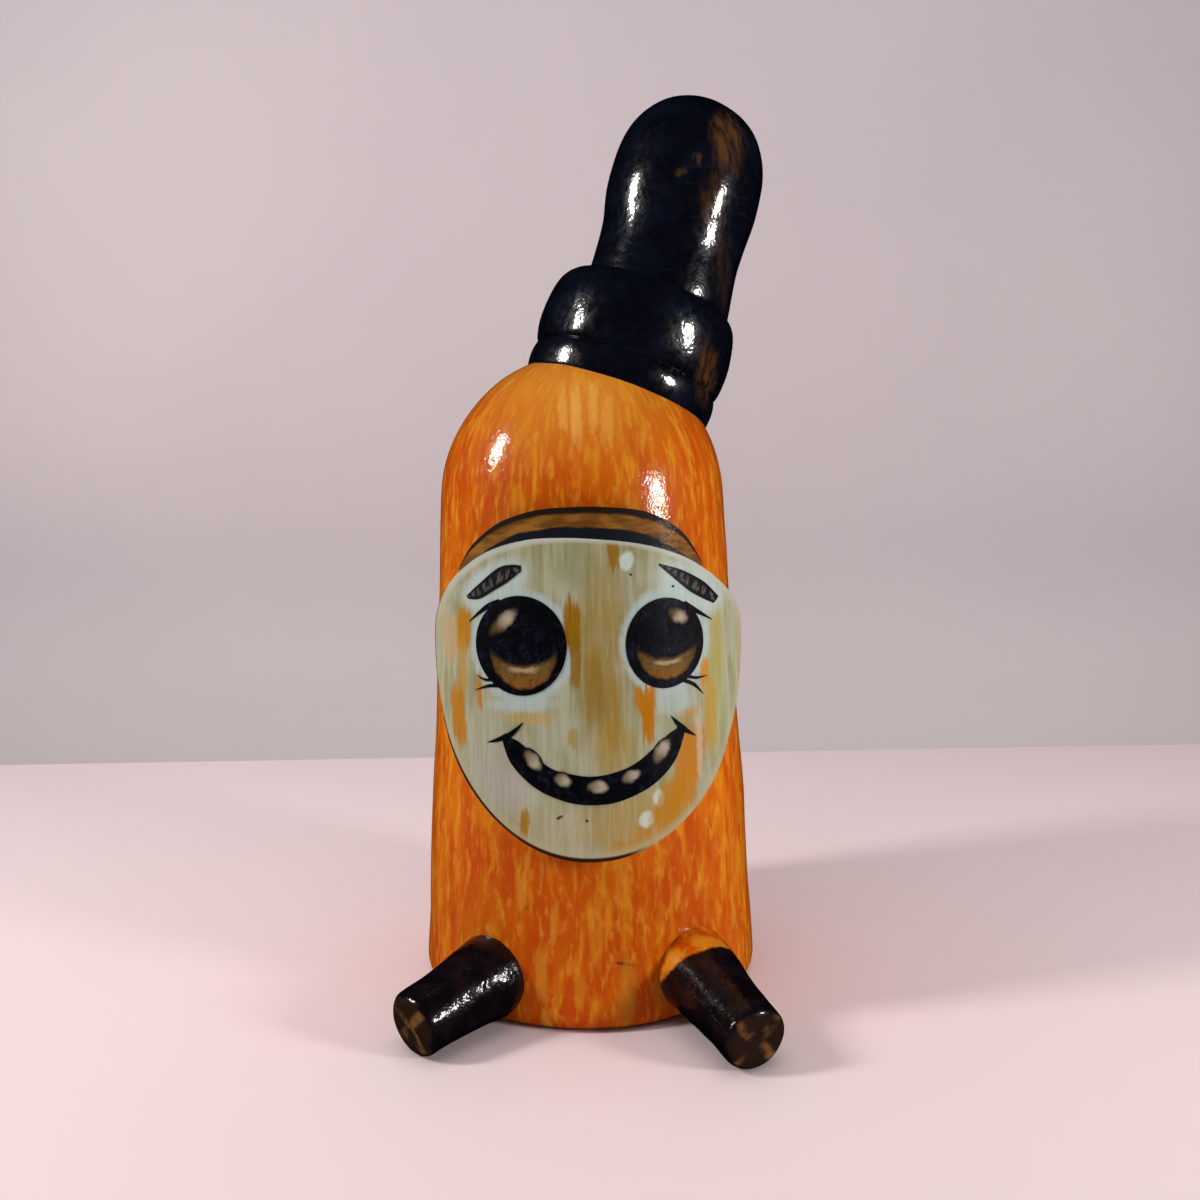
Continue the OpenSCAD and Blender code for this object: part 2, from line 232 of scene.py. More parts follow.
def varnish(tree, shader, colour, place, height, ripple=1.4, speck=0.35, gloss=(0.16, 0.34)):
    # varnish brushed over the colour: slow ripples, and fine specks that break up each highlight's edge
    tree.links.new(colour, shader.inputs["Base Color"])
    slow = addNode(tree, "TexNoise", {"Vector": place, "Scale": 1 / ripple, "Detail": 2.0})
    fine = addNode(tree, "TexNoise", {"Vector": place, "Scale": 1 / speck, "Detail": 1.0})
    speckShare = 0.35
    both = addNode(tree, "Math", {0: fine.outputs["Fac"], 1: speckShare, 2: slow.outputs["Fac"]},
                   operation="MULTIPLY_ADD")
    bump = addNode(tree, "Bump", {"Height": both.outputs[0], "Distance": height * mm, "Strength": 1.0})
    for socket in ("Normal", "Coat Normal"):
        tree.links.new(bump.outputs[0], shader.inputs[socket])
    rough = addNode(tree, "MapRange", {"Value": slow.outputs["Fac"], "From Min": 0.3, "From Max": 0.7,
                                       "To Min": gloss[0], "To Max": gloss[1]})
    tree.links.new(rough.outputs[0], shader.inputs["Roughness"])


def bareFinish(tree, shader, colour, height, depth):  # no varnish: the colour and a relief of this depth
    bump = addNode(tree, "Bump", {"Height": height, "Distance": depth * mm})
    tree.links.new(colour, shader.inputs["Base Color"])
    tree.links.new(bump.outputs[0], shader.inputs["Normal"])


# body: clay skin with a pocket underneath for the plug, a tapered flank and a domed head end

bodySizes = {
    "baseWidth": 49.4,
    "domeWidth": 41.0,
    "domeHeight": 69.5,
    "edgeRound": 2.0,
    "plugWidth": 39.4,
    "plugDepth": 4.1,
    "lumpSize": 15.0,
    "lumpHeight": 0.55,
    "brushRadius": 22.5,  # the strokes are laid out round a body of this radius
}
domeRadius = bodySizes["domeWidth"] / 2
domeHeight = bodySizes["domeHeight"]
baseRadius = bodySizes["baseWidth"] / 2
taper = math.acos(domeRadius / math.hypot(baseRadius, domeHeight)) - math.atan2(domeHeight, baseRadius)


def flankRadius(height, grow=0.0):
    return (domeRadius + grow + (domeHeight - height) * math.sin(taper)) / math.cos(taper)


def bodyRings(grow):  # heights and radii from the underside up to the crown of the dome
    edge = bodySizes["edgeRound"]
    edgeSteps, flankSteps, domeSteps = 6, 24, 16
    rings = []
    for step in range(edgeSteps + 1):
        angle = -math.pi / 2 + (math.pi / 2 + taper) * step / edgeSteps
        rings.append((edge + (edge + grow) * math.sin(angle),
                      flankRadius(edge, -edge) + (edge + grow) * math.cos(angle)))
    low = rings[-1][0]
    top = domeHeight + (domeRadius + grow) * math.sin(taper)
    for step in range(1, flankSteps):
        height = low + (top - low) * step / flankSteps
        rings.append((height, flankRadius(height, grow)))
    for step in range(domeSteps + 1):
        angle = taper + (math.pi / 2 - taper) * step / domeSteps
        rings.append((domeHeight + (domeRadius + grow) * math.sin(angle),
                      max((domeRadius + grow) * math.cos(angle), tipRadius)))
    return rings


def makeOrangePaint():
    # orange acrylic over clay, dabbed upright with a small brush, then gloss varnish:
    # yellow-tan strokes over deep orange, running up the flank and gathering under the hat
    material, tree, shader, place = newMaterial("brushedOrangeAcrylic", {
        "IOR": 1.5, "Specular IOR Level": 0.08, "Coat Weight": 0.65, "Coat Roughness": 0.05})
    part = addNode(tree, "SeparateXYZ", {0: place})
    flat = addNode(tree, "CombineXYZ", {"X": part.outputs["X"], "Y": part.outputs["Y"]})
    spoke = addNode(tree, "VectorMath", {0: flat.outputs[0]}, operation="NORMALIZE")
    around = addNode(tree, "VectorMath", {0: spoke.outputs[0], "Scale": bodySizes["brushRadius"]},
                     operation="SCALE")
    share = addNode(tree, "MapRange", {"Value": part.outputs["Z"], "From Min": domeHeight,
                                       "From Max": domeHeight + domeRadius})
    arc = addNode(tree, "Math", {0: share.outputs[0]}, operation="ARCSINE")
    low = addNode(tree, "Math", {0: part.outputs["Z"], 1: domeHeight}, operation="MINIMUM")
    along = addNode(tree, "Math", {0: arc.outputs[0], 1: domeRadius, 2: low.outputs[0]},
                    operation="MULTIPLY_ADD")
    lift = addNode(tree, "CombineXYZ", {"Z": along.outputs[0]})
    way = addNode(tree, "VectorMath", {0: around.outputs[0], 1: lift.outputs[0]}, operation="ADD")
    brush = shaken(tree, way.outputs[0], 3.0, 1.0)
    colour = srgb("#cc5603")
    # coats of upright strokes: width, length, noise level where a stroke starts and is full, colour, cover
    coats = [
        (3.0, 10.0, 0.38, 0.64, "#e27f08", 1.0),
        (1.0, 7.0, 0.46, 0.70, "#d2640a", 0.6),
        (1.4, 6.0, 0.47, 0.74, "#e0921a", 0.75),
        (0.9, 2.8, 0.50, 0.74, "#e6a534", 0.5),
        (1.2, 5.0, 0.58, 0.74, "#c24a03", 0.45),
    ]
    nearFront = maskWhere(tree, part.outputs["Y"], -8.0, -22.0)
    for number, (wide, tall, start, full, code, cover) in enumerate(coats):
        if number == 2:  # the low front and the upper half are deeper in colour under the pale strokes
            colour = paintWhere(tree, colour, "#bc4400", part.outputs["Z"], 40.0, 16.0, 0.65, nearFront)
            colour = paintWhere(tree, colour, "#b84802", part.outputs["Z"], 44.0, 70.0, 0.6)
        shift = 17.0 * number  # each coat reads another stretch of the noise
        hairs = streaks(tree, brush, wide, tall, 2.0, shift)
        colour = paintWhere(tree, colour, code, hairs, start, full, cover)
    # single strokes on the front: x, z, half width, half height, tilt, colour, cover, softness
    strokes = [
        (-2.2, 81.4, 0.6, 3.2, 4, "#e2a84c", 0.6, 0.7),
        (-0.4, 80.0, 0.7, 3.8, 2, "#e4ac54", 0.65, 0.7),
        (1.8, 81.2, 0.6, 3.4, 0, "#e2a84c", 0.65, 0.7),
        (3.6, 79.2, 0.8, 3.6, -3, "#e0a040", 0.6, 0.7),
        (-8.6, 18.5, 0.7, 2.4, 0, "#d8962c", 0.6, 0.7),
        (4.4, 20.7, 0.8, 4.6, 0, "#d48e28", 0.5, 0.7),
        (1.0, 13.8, 0.9, 4.4, 0, "#d38a20", 0.55, 0.7),
        (-6.2, 7.5, 0.8, 3.0, 0, "#d6942c", 0.55, 0.7),
        (5.0, 5.4, 1.1, 4.0, -4, "#c98a26", 0.6, 0.7),
        (-1.2, 6.0, 0.7, 2.3, 0, "#d68f24", 0.5, 0.7),
        (-4.3, 15.1, 0.5, 2.2, 0, "#d4902a", 0.5, 0.7),
        (9.7, 4.7, 1.0, 1.9, 20, "#b87e22", 0.55, 0.7),
    ]
    # a pale patch under the hat, a scratch and a speck, in the same order of values
    marks = [
        (-0.5, 85.0, 11.0, 9.5, 0, "#dc9a34", 0.55, 0.7),
        (4.7, 9.1, 1.3, 0.22, -14, "#5a2a08", 0.85, 0.4),
        (-8.0, 16.4, 0.25, 0.3, 0, "#6a3208", 0.8, 0.4),
    ]
    # the back is moved out of reach of the single strokes and marks
    behind = addNode(tree, "Math", {0: part.outputs["Y"], 1: 0.0}, operation="GREATER_THAN")
    outOfReach = addNode(tree, "Math", {0: behind.outputs[0], 1: 500.0}, operation="MULTIPLY")
    aside = addNode(tree, "CombineXYZ", {"X": outOfReach.outputs[0]})
    front = addNode(tree, "VectorMath", {0: place, 1: aside.outputs[0]}).outputs[0]
    ragged = shaken(tree, front, 0.8, 0.5)
    for mark in marks:
        colour = dabOver(tree, colour, ragged, mark)
    lifted = combed(tree, front, 3.0)
    dry = addNode(tree, "MapRange", {"Value": hairs, "From Min": 0.3, "From Max": 0.55, "To Min": 0.5})
    for stroke in strokes:
        colour = dabOver(tree, colour, lifted, stroke, dry.outputs[0])
    varnish(tree, shader, colour, place, 0.075, speck=0.3, gloss=(0.3, 0.5))
    return material


orangePaint = makeOrangePaint()
plug = (bodySizes["plugDepth"], bodySizes["plugWidth"] / 2)
body = stackRings("bodySkin", [plug, (0.0, plug[1])] + bodyRings(0.0))
applyModifier(body, "SUBSURF", levels=1, render_levels=1)
addLumps(body, bodySizes["lumpSize"], bodySizes["lumpHeight"])
standOnTable(body)
cleanUp(body)
finishPiece(body, orangePaint, "orange_clay", "body_shell")
print("body done")


# face plate: an egg cut from a rolled slab, pressed round the body over a form of its own height

plateSizes = {
    "middle": 50.0,
    "turn": 2.5,
    "halfWidth": 20.9,
    "up": 14.4,
    "down": 26.2,
    "shoulderPower": 2.25,
    "chinPower": 2.15,
    "topLean": 1.2,
    "thickness": 2.75,
    "sunk": 0.4,
    "edgeRound": 1.1,
    "lumpSize": 9.0,
    "lumpHeight": 0.3,
    "wander": (0.12, 0.08),
    "sides": 128,
    "heart": 46.0,  # the rings of the slab close in on this height
    "ringSizes": (0.985, 0.96, 0.92, 0.86, 0.79, 0.71, 0.62, 0.53, 0.44, 0.35, 0.26, 0.17, 0.08),
}
frontOfFace = -60.0  # flat shapes are drawn here and then pressed back on what carries them


def faceForward(piece):
    if sum(polygon.normal.y for polygon in piece.data.polygons) > 0:
        editAll(piece)
        bpy.ops.mesh.flip_normals()
        bpy.ops.object.mode_set(mode="OBJECT")


def pressOn(piece, target, lift):
    faceForward(piece)
    applyModifier(piece, "SHRINKWRAP", target=target, wrap_method="PROJECT", use_project_y=True,
                  use_positive_direction=True, wrap_mode="ABOVE_SURFACE", offset=lift * mm)


def eggPoint(angle):  # on the plate's outline, with the wander of a hand-held knife
    slow, quick = plateSizes["wander"]
    wander = slow * math.sin(3 * angle + 0.7) + quick * math.sin(7 * angle)
    above = math.sin(angle) > 0
    power = plateSizes["shoulderPower" if above else "chinPower"]
    tall = plateSizes["up" if above else "down"]
    sideways = math.copysign(abs(math.cos(angle)) ** (2 / power), math.cos(angle))
    upward = math.copysign(abs(math.sin(angle)) ** (2 / power), math.sin(angle))
    drop = plateSizes["topLean"] * sideways * max(upward, 0)
    return ((plateSizes["halfWidth"] + wander) * sideways,
            plateSizes["middle"] + (tall + wander) * upward - drop)


def eggShare(x, z):  # how far out a spot lies between the middle and the outline
    above = z > plateSizes["middle"]
    power = plateSizes["shoulderPower" if above else "chinPower"]
    tall = plateSizes["up" if above else "down"]
    sideways = x / plateSizes["halfWidth"]
    upward = (z - plateSizes["middle"]) / tall
    upward += plateSizes["topLean"] * sideways * max(upward, 0) / tall
    return (abs(sideways) ** power + abs(upward) ** power) ** (1 / power)


def makeCreamPaint():
    # thin cream acrylic over ochre clay, wiped downwards: the ground shows through in streaks and drips,
    # pale blue-white is brushed round the eyes and brows, a satin varnish lies over it
    material, tree, shader, place = newMaterial("wipedCreamAcrylic", {
        "IOR": 1.48, "Specular IOR Level": 0.1, "Coat Weight": 0.06, "Coat Roughness": 0.2})
    hairs = streaks(tree, place, 1.4, 14.0, 4.0)
    patches = addNode(tree, "TexNoise", {"Vector": place, "Scale": 1 / 7.0, "Detail": 3.0})
    colour = paintWhere(tree, srgb("#a89f78"), "#c4bfa2", hairs, 0.36, 0.64)
    colour = paintWhere(tree, colour, "#c6c1b2", patches.outputs["Fac"], 0.42, 0.66, 0.7)
    # wiped areas and pale rings: x, z, half width, half height, tilt, colour, cover, softness
    wipes = [
        (2.4, 50.9, 3.0, 12.0, 0, "#b08c3a", 0.7, 0.5),
        (-0.6, 61.4, 3.0, 3.2, 0, "#a09a66", 0.6, 0.5),
        (3.8, 38.1, 2.6, 3.6, 0, "#c49f50", 0.7, 0.5),
        (-10.4, 34.4, 4.2, 5.4, 20, "#cfc2c2", 0.75, 0.5),
        (-4.0, 27.6, 7.0, 3.2, 0, "#cdbb9c", 0.6, 0.5),
        (6.0, 28.6, 6.0, 3.4, 12, "#cfa45a", 0.65, 0.5),
        (-13.0, 40.6, 2.6, 5.0, 0, "#c6bdac", 0.6, 0.5),
        (17.3, 46.0, 1.5, 8.4, 0, "#c2bd80", 0.7, 0.5),
        (-6.8, 41.8, 3.0, 0.9, 0, "#d8ac62", 0.65, 0.5),
        (13.5, 41.6, 1.3, 0.7, 0, "#dca258", 0.65, 0.5),
        (9.8, 27.6, 4.6, 2.4, 25, "#d89638", 0.75, 0.5),
        (4.8, 25.3, 1.9, 0.9, 0, "#d8923a", 0.7, 0.5),
        (-7.8, 50.7, 6.8, 7.3, 0, "#cbd8e2", 0.88, 0.08),
        (10.6, 51.0, 5.9, 6.9, 0, "#cbd8e2", 0.88, 0.08),
        (-11.3, 58.4, 4.8, 2.7, 32, "#d3dde4", 0.95, 0.25),
        (14.1, 57.6, 5.0, 2.8, -32, "#d3dde4", 0.95, 0.25),
        (11.3, 43.4, 2.7, 1.9, 0, "#c9d2d4", 0.85, 0.35),
        (-8.0, 43.4, 4.2, 0.9, 4, "#ccd5dc", 0.8, 0.4),
        (5.7, 61.4, 0.85, 1.2, 0, "#e4eaea", 0.95, 0.25),
        (9.3, 31.2, 0.75, 1.0, 0, "#eaeae4", 0.9, 0.3),
        (7.7, 28.6, 1.0, 1.05, 0, "#eaeae4", 0.95, 0.25),
        (6.1, 59.7, 0.16, 0.16, 0, "#1c1a14", 1.0, 0.3),
        (11.6, 58.0, 0.24, 0.2, 0, "#1c1a14", 1.0, 0.3),
        (-3.2, 29.3, 0.5, 0.2, 20, "#2c2a20", 0.9, 0.3),
        (0.1, 28.8, 0.18, 0.18, 0, "#2c2a20", 0.9, 0.3),
    ]
    # ochre strokes with square ends, in the same order of values
    strokes = [
        (1.3, 45.5, 1.2, 4.6, 0, "#8e6c1c", 0.6, 0.7),
        (3.6, 43.0, 0.8, 4.8, 0, "#a07a28", 0.5, 0.7),
        (-1.3, 53.2, 1.1, 3.2, 0, "#8e6600", 1.0, 0.5),
        (-0.9, 48.9, 0.7, 3.2, 0, "#866200", 0.9, 0.6),
        (-1.5, 39.4, 0.6, 1.4, 0, "#a08420", 0.6, 0.6),
        (4.0, 62.2, 0.7, 2.0, 0, "#906804", 0.95, 0.5),
        (7.8, 43.8, 1.35, 1.8, 0, "#b87600", 1.0, 0.45),
        (8.1, 41.2, 0.75, 2.6, 0, "#b47200", 1.0, 0.5),
        (-17.5, 51.3, 1.3, 2.8, 0, "#bf9a5c", 0.6, 0.7),
        (-15.6, 52.8, 1.0, 2.8, 0, "#b07c00", 0.97, 0.5),
        (-15.9, 47.6, 0.7, 4.0, 0, "#b98a30", 0.65, 0.7),
        (-16.6, 41.2, 1.05, 3.8, 4, "#b67800", 0.97, 0.5),
        (-13.5, 44.6, 0.4, 2.0, 0, "#b87a08", 0.85, 0.5),
        (15.8, 46.4, 0.55, 1.9, 0, "#c88614", 0.9, 0.5),
        (13.3, 34.6, 1.8, 5.2, -13, "#be7a02", 0.95, 0.6),
        (10.6, 30.6, 1.6, 3.4, -24, "#b67e0c", 0.8, 0.6),
        (16.6, 40.6, 0.9, 4.6, 0, "#b99432", 0.75, 0.6),
        (17.6, 50.0, 0.8, 4.2, 0, "#b09c4c", 0.5, 0.7),
        (14.9, 37.4, 0.4, 4.0, 0, "#c8bca4", 0.6, 0.6),
        (-7.9, 27.8, 0.6, 2.3, -8, "#9c7208", 0.95, 0.5),
    ]
    wiped = shaken(tree, place, 1.6, 0.8)
    for wipe in wipes:
        colour = dabOver(tree, colour, wiped, wipe)
    # the glaze tints it all and gathers in fine streaks
    fine = streaks(tree, place, 0.5, 11.0, 3.0)
    colour = paintWhere(tree, colour, "#dadcd6", fine, 0.48, 0.30, 0.2)
    gathered = maskWhere(tree, fine, 0.44, 0.70, 0.42)
    for cover, tint in ((1.0, (0.72, 0.81, 0.73, 1)), (gathered, (0.76, 0.74, 0.6, 1))):
        colour = addNode(tree, "Mix", {0: cover, 6: colour, 7: tint}, data_type="RGBA",
                         blend_type="MULTIPLY").outputs[2]
    brush = combed(tree, place, 2.4)
    dry = addNode(tree, "MapRange", {"Value": streaks(tree, place, 0.35, 5.0, 2.0), "From Min": 0.3,
                                     "From Max": 0.55, "To Min": 0.88})
    for stroke in strokes:
        colour = dabOver(tree, colour, brush, stroke, dry.outputs[0])
    # painted highlight on the rounded edge, strongest and blue-white at the top; a brown line of dark paint
    # and painted shadow at the lower left
    inward = addNode(tree, "Attribute", attribute_name="inward").outputs["Fac"]
    part = addNode(tree, "SeparateXYZ", {0: place})
    topHighlightZone = maskWhere(tree, part.outputs["Z"], 52.0, 62.0)
    lower = maskWhere(tree, part.outputs["Z"], 50.0, 40.0)
    lowLeftShadowLine = maskWhere(tree, part.outputs["X"], 9.0, 5.0, within=lower)
    # painted highlight: the edge is lightened all round, then blue-white at the top
    colour = paintWhere(tree, colour, "#b3ae8c", inward, 0.94, 0.985, 0.6)
    colour = paintWhere(tree, colour, "#c3cfce", inward, 0.94, 0.985, 0.6, topHighlightZone)
    # brown line at the lower left: dark paint and painted shadow under the plate's edge
    colour = paintWhere(tree, colour, "#2e1c0e", inward, 0.982, 0.992, within=lowLeftShadowLine)
    varnish(tree, shader, colour, place, 0.05, ripple=1.8, speck=0.5, gloss=(0.4, 0.6))
    return material


def makePlate(form):
    centre = (0, frontOfFace * mm, plateSizes["heart"] * mm)
    plate = addNamed("facePlate", bpy.ops.mesh.primitive_circle_add, vertices=plateSizes["sides"],
                     radius=20 * mm, rotation=(math.pi / 2, 0, 0))  # only the angles of its corners are kept
    bpy.ops.object.transform_apply(location=True, rotation=True, scale=True)
    for vertex in plate.data.vertices:
        x, z = eggPoint(math.atan2(vertex.co.z, vertex.co.x))
        vertex.co = (x * mm, frontOfFace * mm, z * mm)
    editAll(plate)
    size = 1.0
    for nextSize in plateSizes["ringSizes"]:
        bpy.ops.mesh.extrude_region_move()
        bpy.ops.transform.resize(value=(nextSize / size, 1, nextSize / size), center_override=centre)
        size = nextSize
    bpy.ops.mesh.merge(type="CENTER")
    bpy.ops.mesh.select_all(action="SELECT")
    bpy.ops.mesh.subdivide(number_cuts=1)
    bpy.ops.object.mode_set(mode="OBJECT")
    inward = plate.data.attributes.new("inward", "FLOAT", "POINT")  # 0 in the middle, 1 on the outline
    for vertex in plate.data.vertices:
        inward.data[vertex.index].value = eggShare(vertex.co.x / mm, vertex.co.z / mm)
    pressOn(plate, form, 0)
    applyModifier(plate, "SOLIDIFY", offset=-1,
                  thickness=(plateSizes["thickness"] + plateSizes["sunk"]) * mm)
    applyModifier(plate, "BEVEL", width=plateSizes["edgeRound"] * mm, segments=4, limit_method="ANGLE",
                  angle_limit=math.radians(50))
    addLumps(plate, plateSizes["lumpSize"], plateSizes["lumpHeight"])
    settle(plate, Matrix.Rotation(math.radians(plateSizes["turn"]), 4, "Z"))
    cleanUp(plate)
    return plate


plateForm = stackRings("plateForm", bodyRings(plateSizes["thickness"] + 0.05))
plate = makePlate(plateForm)
finishPiece(plate, makeCreamPaint(), "cream_clay", "face_plate")
print("face plate done")


# lip above the plate: a rolled crescent with dark painted edges

lipSizes = {
    "lift": -0.85,  # its front against the plate's front
    "thickness": 2.3,
    "edgeRound": 0.6,
    "lowEdge": [(-16.9, 59.9), (-14.6, 61.2), (-11.1, 62.8), (-7.4, 63.8), (-4.4, 64.1), (-0.3, 64.2),
                (3.5, 64.0), (7.6, 63.3), (10.7, 62.4), (13.7, 61.3), (16.3, 60.3)],
    "highEdge": [(-17.0, 60.4), (-14.9, 63.5), (-11.4, 66.2), (-7.9, 67.5), (-4.7, 68.1), (-0.3, 68.3),
                 (3.5, 68.2), (7.9, 67.7), (11.1, 66.5), (14.0, 64.4), (16.4, 60.8)],
}


def curvePoint(points, share):  # a smooth line through the points, share from 0 to 1
    last = len(points) - 1
    spot = min(share * last, last - 0.000001)
    i = int(spot)
    t = spot - i
    around = (points[max(i - 1, 0)], points[i], points[i + 1], points[min(i + 2, last)])
    return [0.5 * (2 * b + (c - a) * t + (2 * a - 5 * b + 4 * c - d) * t ** 2
                   + (3 * b - a - 3 * c + d) * t ** 3) for a, b, c, d in zip(*around)]


def drawBetween(name, lowEdge, highEdge, steps=32, across=6):  # a flat shape between two given lines
    piece = addNamed(name, bpy.ops.mesh.primitive_grid_add, x_subdivisions=steps, y_subdivisions=across,
                     size=2)
    for vertex in piece.data.vertices:
        low = Vector(curvePoint(lowEdge, (vertex.co.x + 1) / 2))
        high = Vector(curvePoint(highEdge, (vertex.co.x + 1) / 2))
        spot = low.lerp(high, (vertex.co.y + 1) / 2)
        vertex.co = (spot.x * mm, frontOfFace * mm, spot.y * mm)
    return piece


def drawDisc(name, centre, half, tilt=0.0, steps=24):  # a flat oval
    piece = addNamed(name, bpy.ops.mesh.primitive_grid_add, x_subdivisions=steps, y_subdivisions=steps,
                     size=2)
    turn = Matrix.Rotation(math.radians(tilt), 2)
    for vertex in piece.data.vertices:
        u, v = vertex.co.x, vertex.co.y
        spot = turn @ Vector((half[0] * u * math.sqrt(1 - v * v / 2),
                              half[1] * v * math.sqrt(1 - u * u / 2)))
        vertex.co = ((centre[0] + spot.x) * mm, frontOfFace * mm, (centre[1] + spot.y) * mm)
    return piece


def makeLipPaint():
    # ochre acrylic brushed along the lip, with a blue-black line at its foot and a brown-black one on top
    material, tree, shader, place = newMaterial("brushedOchreAcrylic", {
        "IOR": 1.5, "Specular IOR Level": 0.1, "Coat Weight": 0.04, "Coat Roughness": 0.12})
    where = addNode(tree, "UVMap")
    split = addNode(tree, "SeparateXYZ", {0: where.outputs[0]})
    wobble = addNode(tree, "TexNoise", {"Vector": place, "Scale": 1 / 3.0, "Detail": 3.0})
    across = addNode(tree, "Math", {0: wobble.outputs["Fac"], 1: 0.16, 2: split.outputs["Y"]},
                     operation="MULTIPLY_ADD")
    hairs = streaks(tree, place, 4.0, 0.9, 2.0)
    colour = paintWhere(tree, srgb("#664010"), "#956524", hairs, 0.34, 0.68)
    away = fromMiddle(tree, split.outputs["X"])
    narrow = maskWhere(tree, away, 0.2, 0.5, 0.25)
    narrowed = addNode(tree, "Math", {0: across.outputs[0], 1: narrow})
    footLine = paintWhere(tree, srgb("#131922"), "#48535c", away, 0.3, 0.48)
    colour = paintWhere(tree, colour, footLine, narrowed.outputs[0], 0.50, 0.42)
    colour = paintWhere(tree, colour, "#1e180f", across.outputs[0], 0.82, 0.92)
    varnish(tree, shader, colour, place, 0.05, gloss=(0.45, 0.6))
    return material


lip = drawBetween("browLip", lipSizes["lowEdge"], lipSizes["highEdge"], steps=64, across=8)
pressOn(lip, plateForm, lipSizes["lift"])
applyModifier(lip, "SOLIDIFY", thickness=lipSizes["thickness"] * mm, offset=-1)
cleanUp(lip)
applyModifier(lip, "BEVEL", width=lipSizes["edgeRound"] * mm, segments=4, limit_method="ANGLE",
              angle_limit=math.radians(50))
cleanUp(lip, 60)
finishPiece(lip, makeLipPaint(), "ochre_clay", "face_rim")
takeUp(plateForm)
bpy.ops.object.delete()
print("lip done")


# painted face: thin films of acrylic laid on the plate, one over the other

paintSizes = {
    "film": 0.16,
    "lineLift": 0.10,
    "fillLift": 0.14,
    "touchLift": 0.18,
    "bendThick": 0.75,  # of a thin line, as a share of its root
    "tipThick": 0.08,
    "leftEye": {"centre": (-7.9, 50.9), "half": (5.9, 6.3)},
    "rightEye": {"centre": (10.5, 50.8), "half": (5.1, 5.75)},
}
filmSockets = {"IOR": 1.5, "Specular IOR Level": 0.08, "Coat Weight": 0.04, "Coat Roughness": 0.14}
mouthLow = [(-10.6, 39.2), (-9.4, 35.9), (-6.4, 33.0), (-2.6, 31.4), (0.7, 30.9), (4.3, 31.2), (8.5, 32.9),
            (11.5, 35.7), (13.0, 39.6)]
mouthHigh = [(-10.4, 39.3), (-8.3, 38.7), (-4.6, 35.7), (-1.6, 34.8), (0.9, 34.5), (3.8, 34.9), (6.8, 36.1),
             (11.0, 39.3), (12.8, 39.9)]
# each line thins from its root to its tip: root, bend, tip, thickness at the root
thinLines = {
    "leftLashTop": ((-10.4, 56.4), (-12.2, 55.7), (-14.7, 53.7), 0.8),
    "leftLashUpper": ((-11.2, 46.6), (-12.6, 46.3), (-13.8, 46.8), 0.45),
    "leftLashLower": ((-9.8, 45.7), (-12.0, 45.6), (-14.0, 44.9), 0.55),
    "rightLashTop": ((13.0, 55.6), (14.6, 54.6), (16.9, 53.2), 0.8),
    "rightLashUpper": ((13.2, 46.3), (14.6, 45.9), (16.1, 46.0), 0.45),
    "rightLashLower": ((12.6, 45.9), (14.2, 45.1), (15.5, 43.7), 0.55),
    "leftSmileOut": ((-9.8, 39.4), (-11.0, 38.8), (-12.5, 38.3), 0.7),
    "leftSmileIn": ((-10.2, 39.0), (-8.9, 40.0), (-7.7, 41.2), 0.75),
    "rightSmileIn": ((12.9, 39.4), (12.0, 40.3), (11.1, 41.4), 0.75),
    "rightSmileOut": ((12.0, 40.0), (13.2, 39.2), (14.4, 38.4), 0.7),
}
brows = {
    "leftBrow": ([(-14.8, 56.6), (-13.2, 56.7), (-10.9, 58.0), (-9.4, 58.9), (-7.6, 60.3)],
                 [(-15.0, 57.0), (-13.2, 58.6), (-10.7, 60.6), (-9.0, 61.1), (-7.6, 61.0)]),
    "rightBrow": ([(9.8, 60.7), (11.6, 59.1), (13.8, 57.2), (15.6, 56.1), (17.2, 55.3)],
                  [(9.8, 60.9), (12.4, 60.1), (14.6, 59.0), (16.2, 57.9), (17.9, 56.1)]),
}
# each iris is a disc, dark where the pupil covers it from above
irises = {
    "leftIris": {"centre": (-7.6, 50.2), "half": (4.6, 4.95),
                 "pupil": (-7.6, 52.2), "pupilHalf": (5.2, 3.9)},
    "rightIris": {"centre": (10.7, 50.5), "half": (4.2, 4.5),
                  "pupil": (10.7, 52.4), "pupilHalf": (5.0, 3.6)},
}
# middle, half size, tilt
glints = {
    "leftGlint": ((-10.1, 53.8), (2.9, 1.15), 42),
    "rightGlint": ((12.2, 54.2), (1.8, 1.1), -34),
}
teeth = [((-6.6, 36.5), (1.8, 1.05), -52), ((-2.8, 34.1), (1.4, 1.0), -20), ((1.6, 33.2), (1.6, 1.0), 0),
         ((5.8, 34.3), (1.5, 0.95), 22), ((9.8, 37.1), (2.0, 1.1), 54)]


def makeLinerPaint():
    # blue-black acrylic from a fine brush: nearly black where it is thick, navy where it thins
    material, tree, shader, place = newMaterial("navyLinerAcrylic", filmSockets)
    thin = addNode(tree, "TexNoise", {"Vector": place, "Scale": 1 / 1.6, "Detail": 4.0, "Distortion": 1.2})
    colour = paintWhere(tree, srgb("#05060b"), "#172036", thin.outputs["Fac"], 0.45, 0.8)
    varnish(tree, shader, colour, place, 0.03, gloss=(0.4, 0.6))
    return material


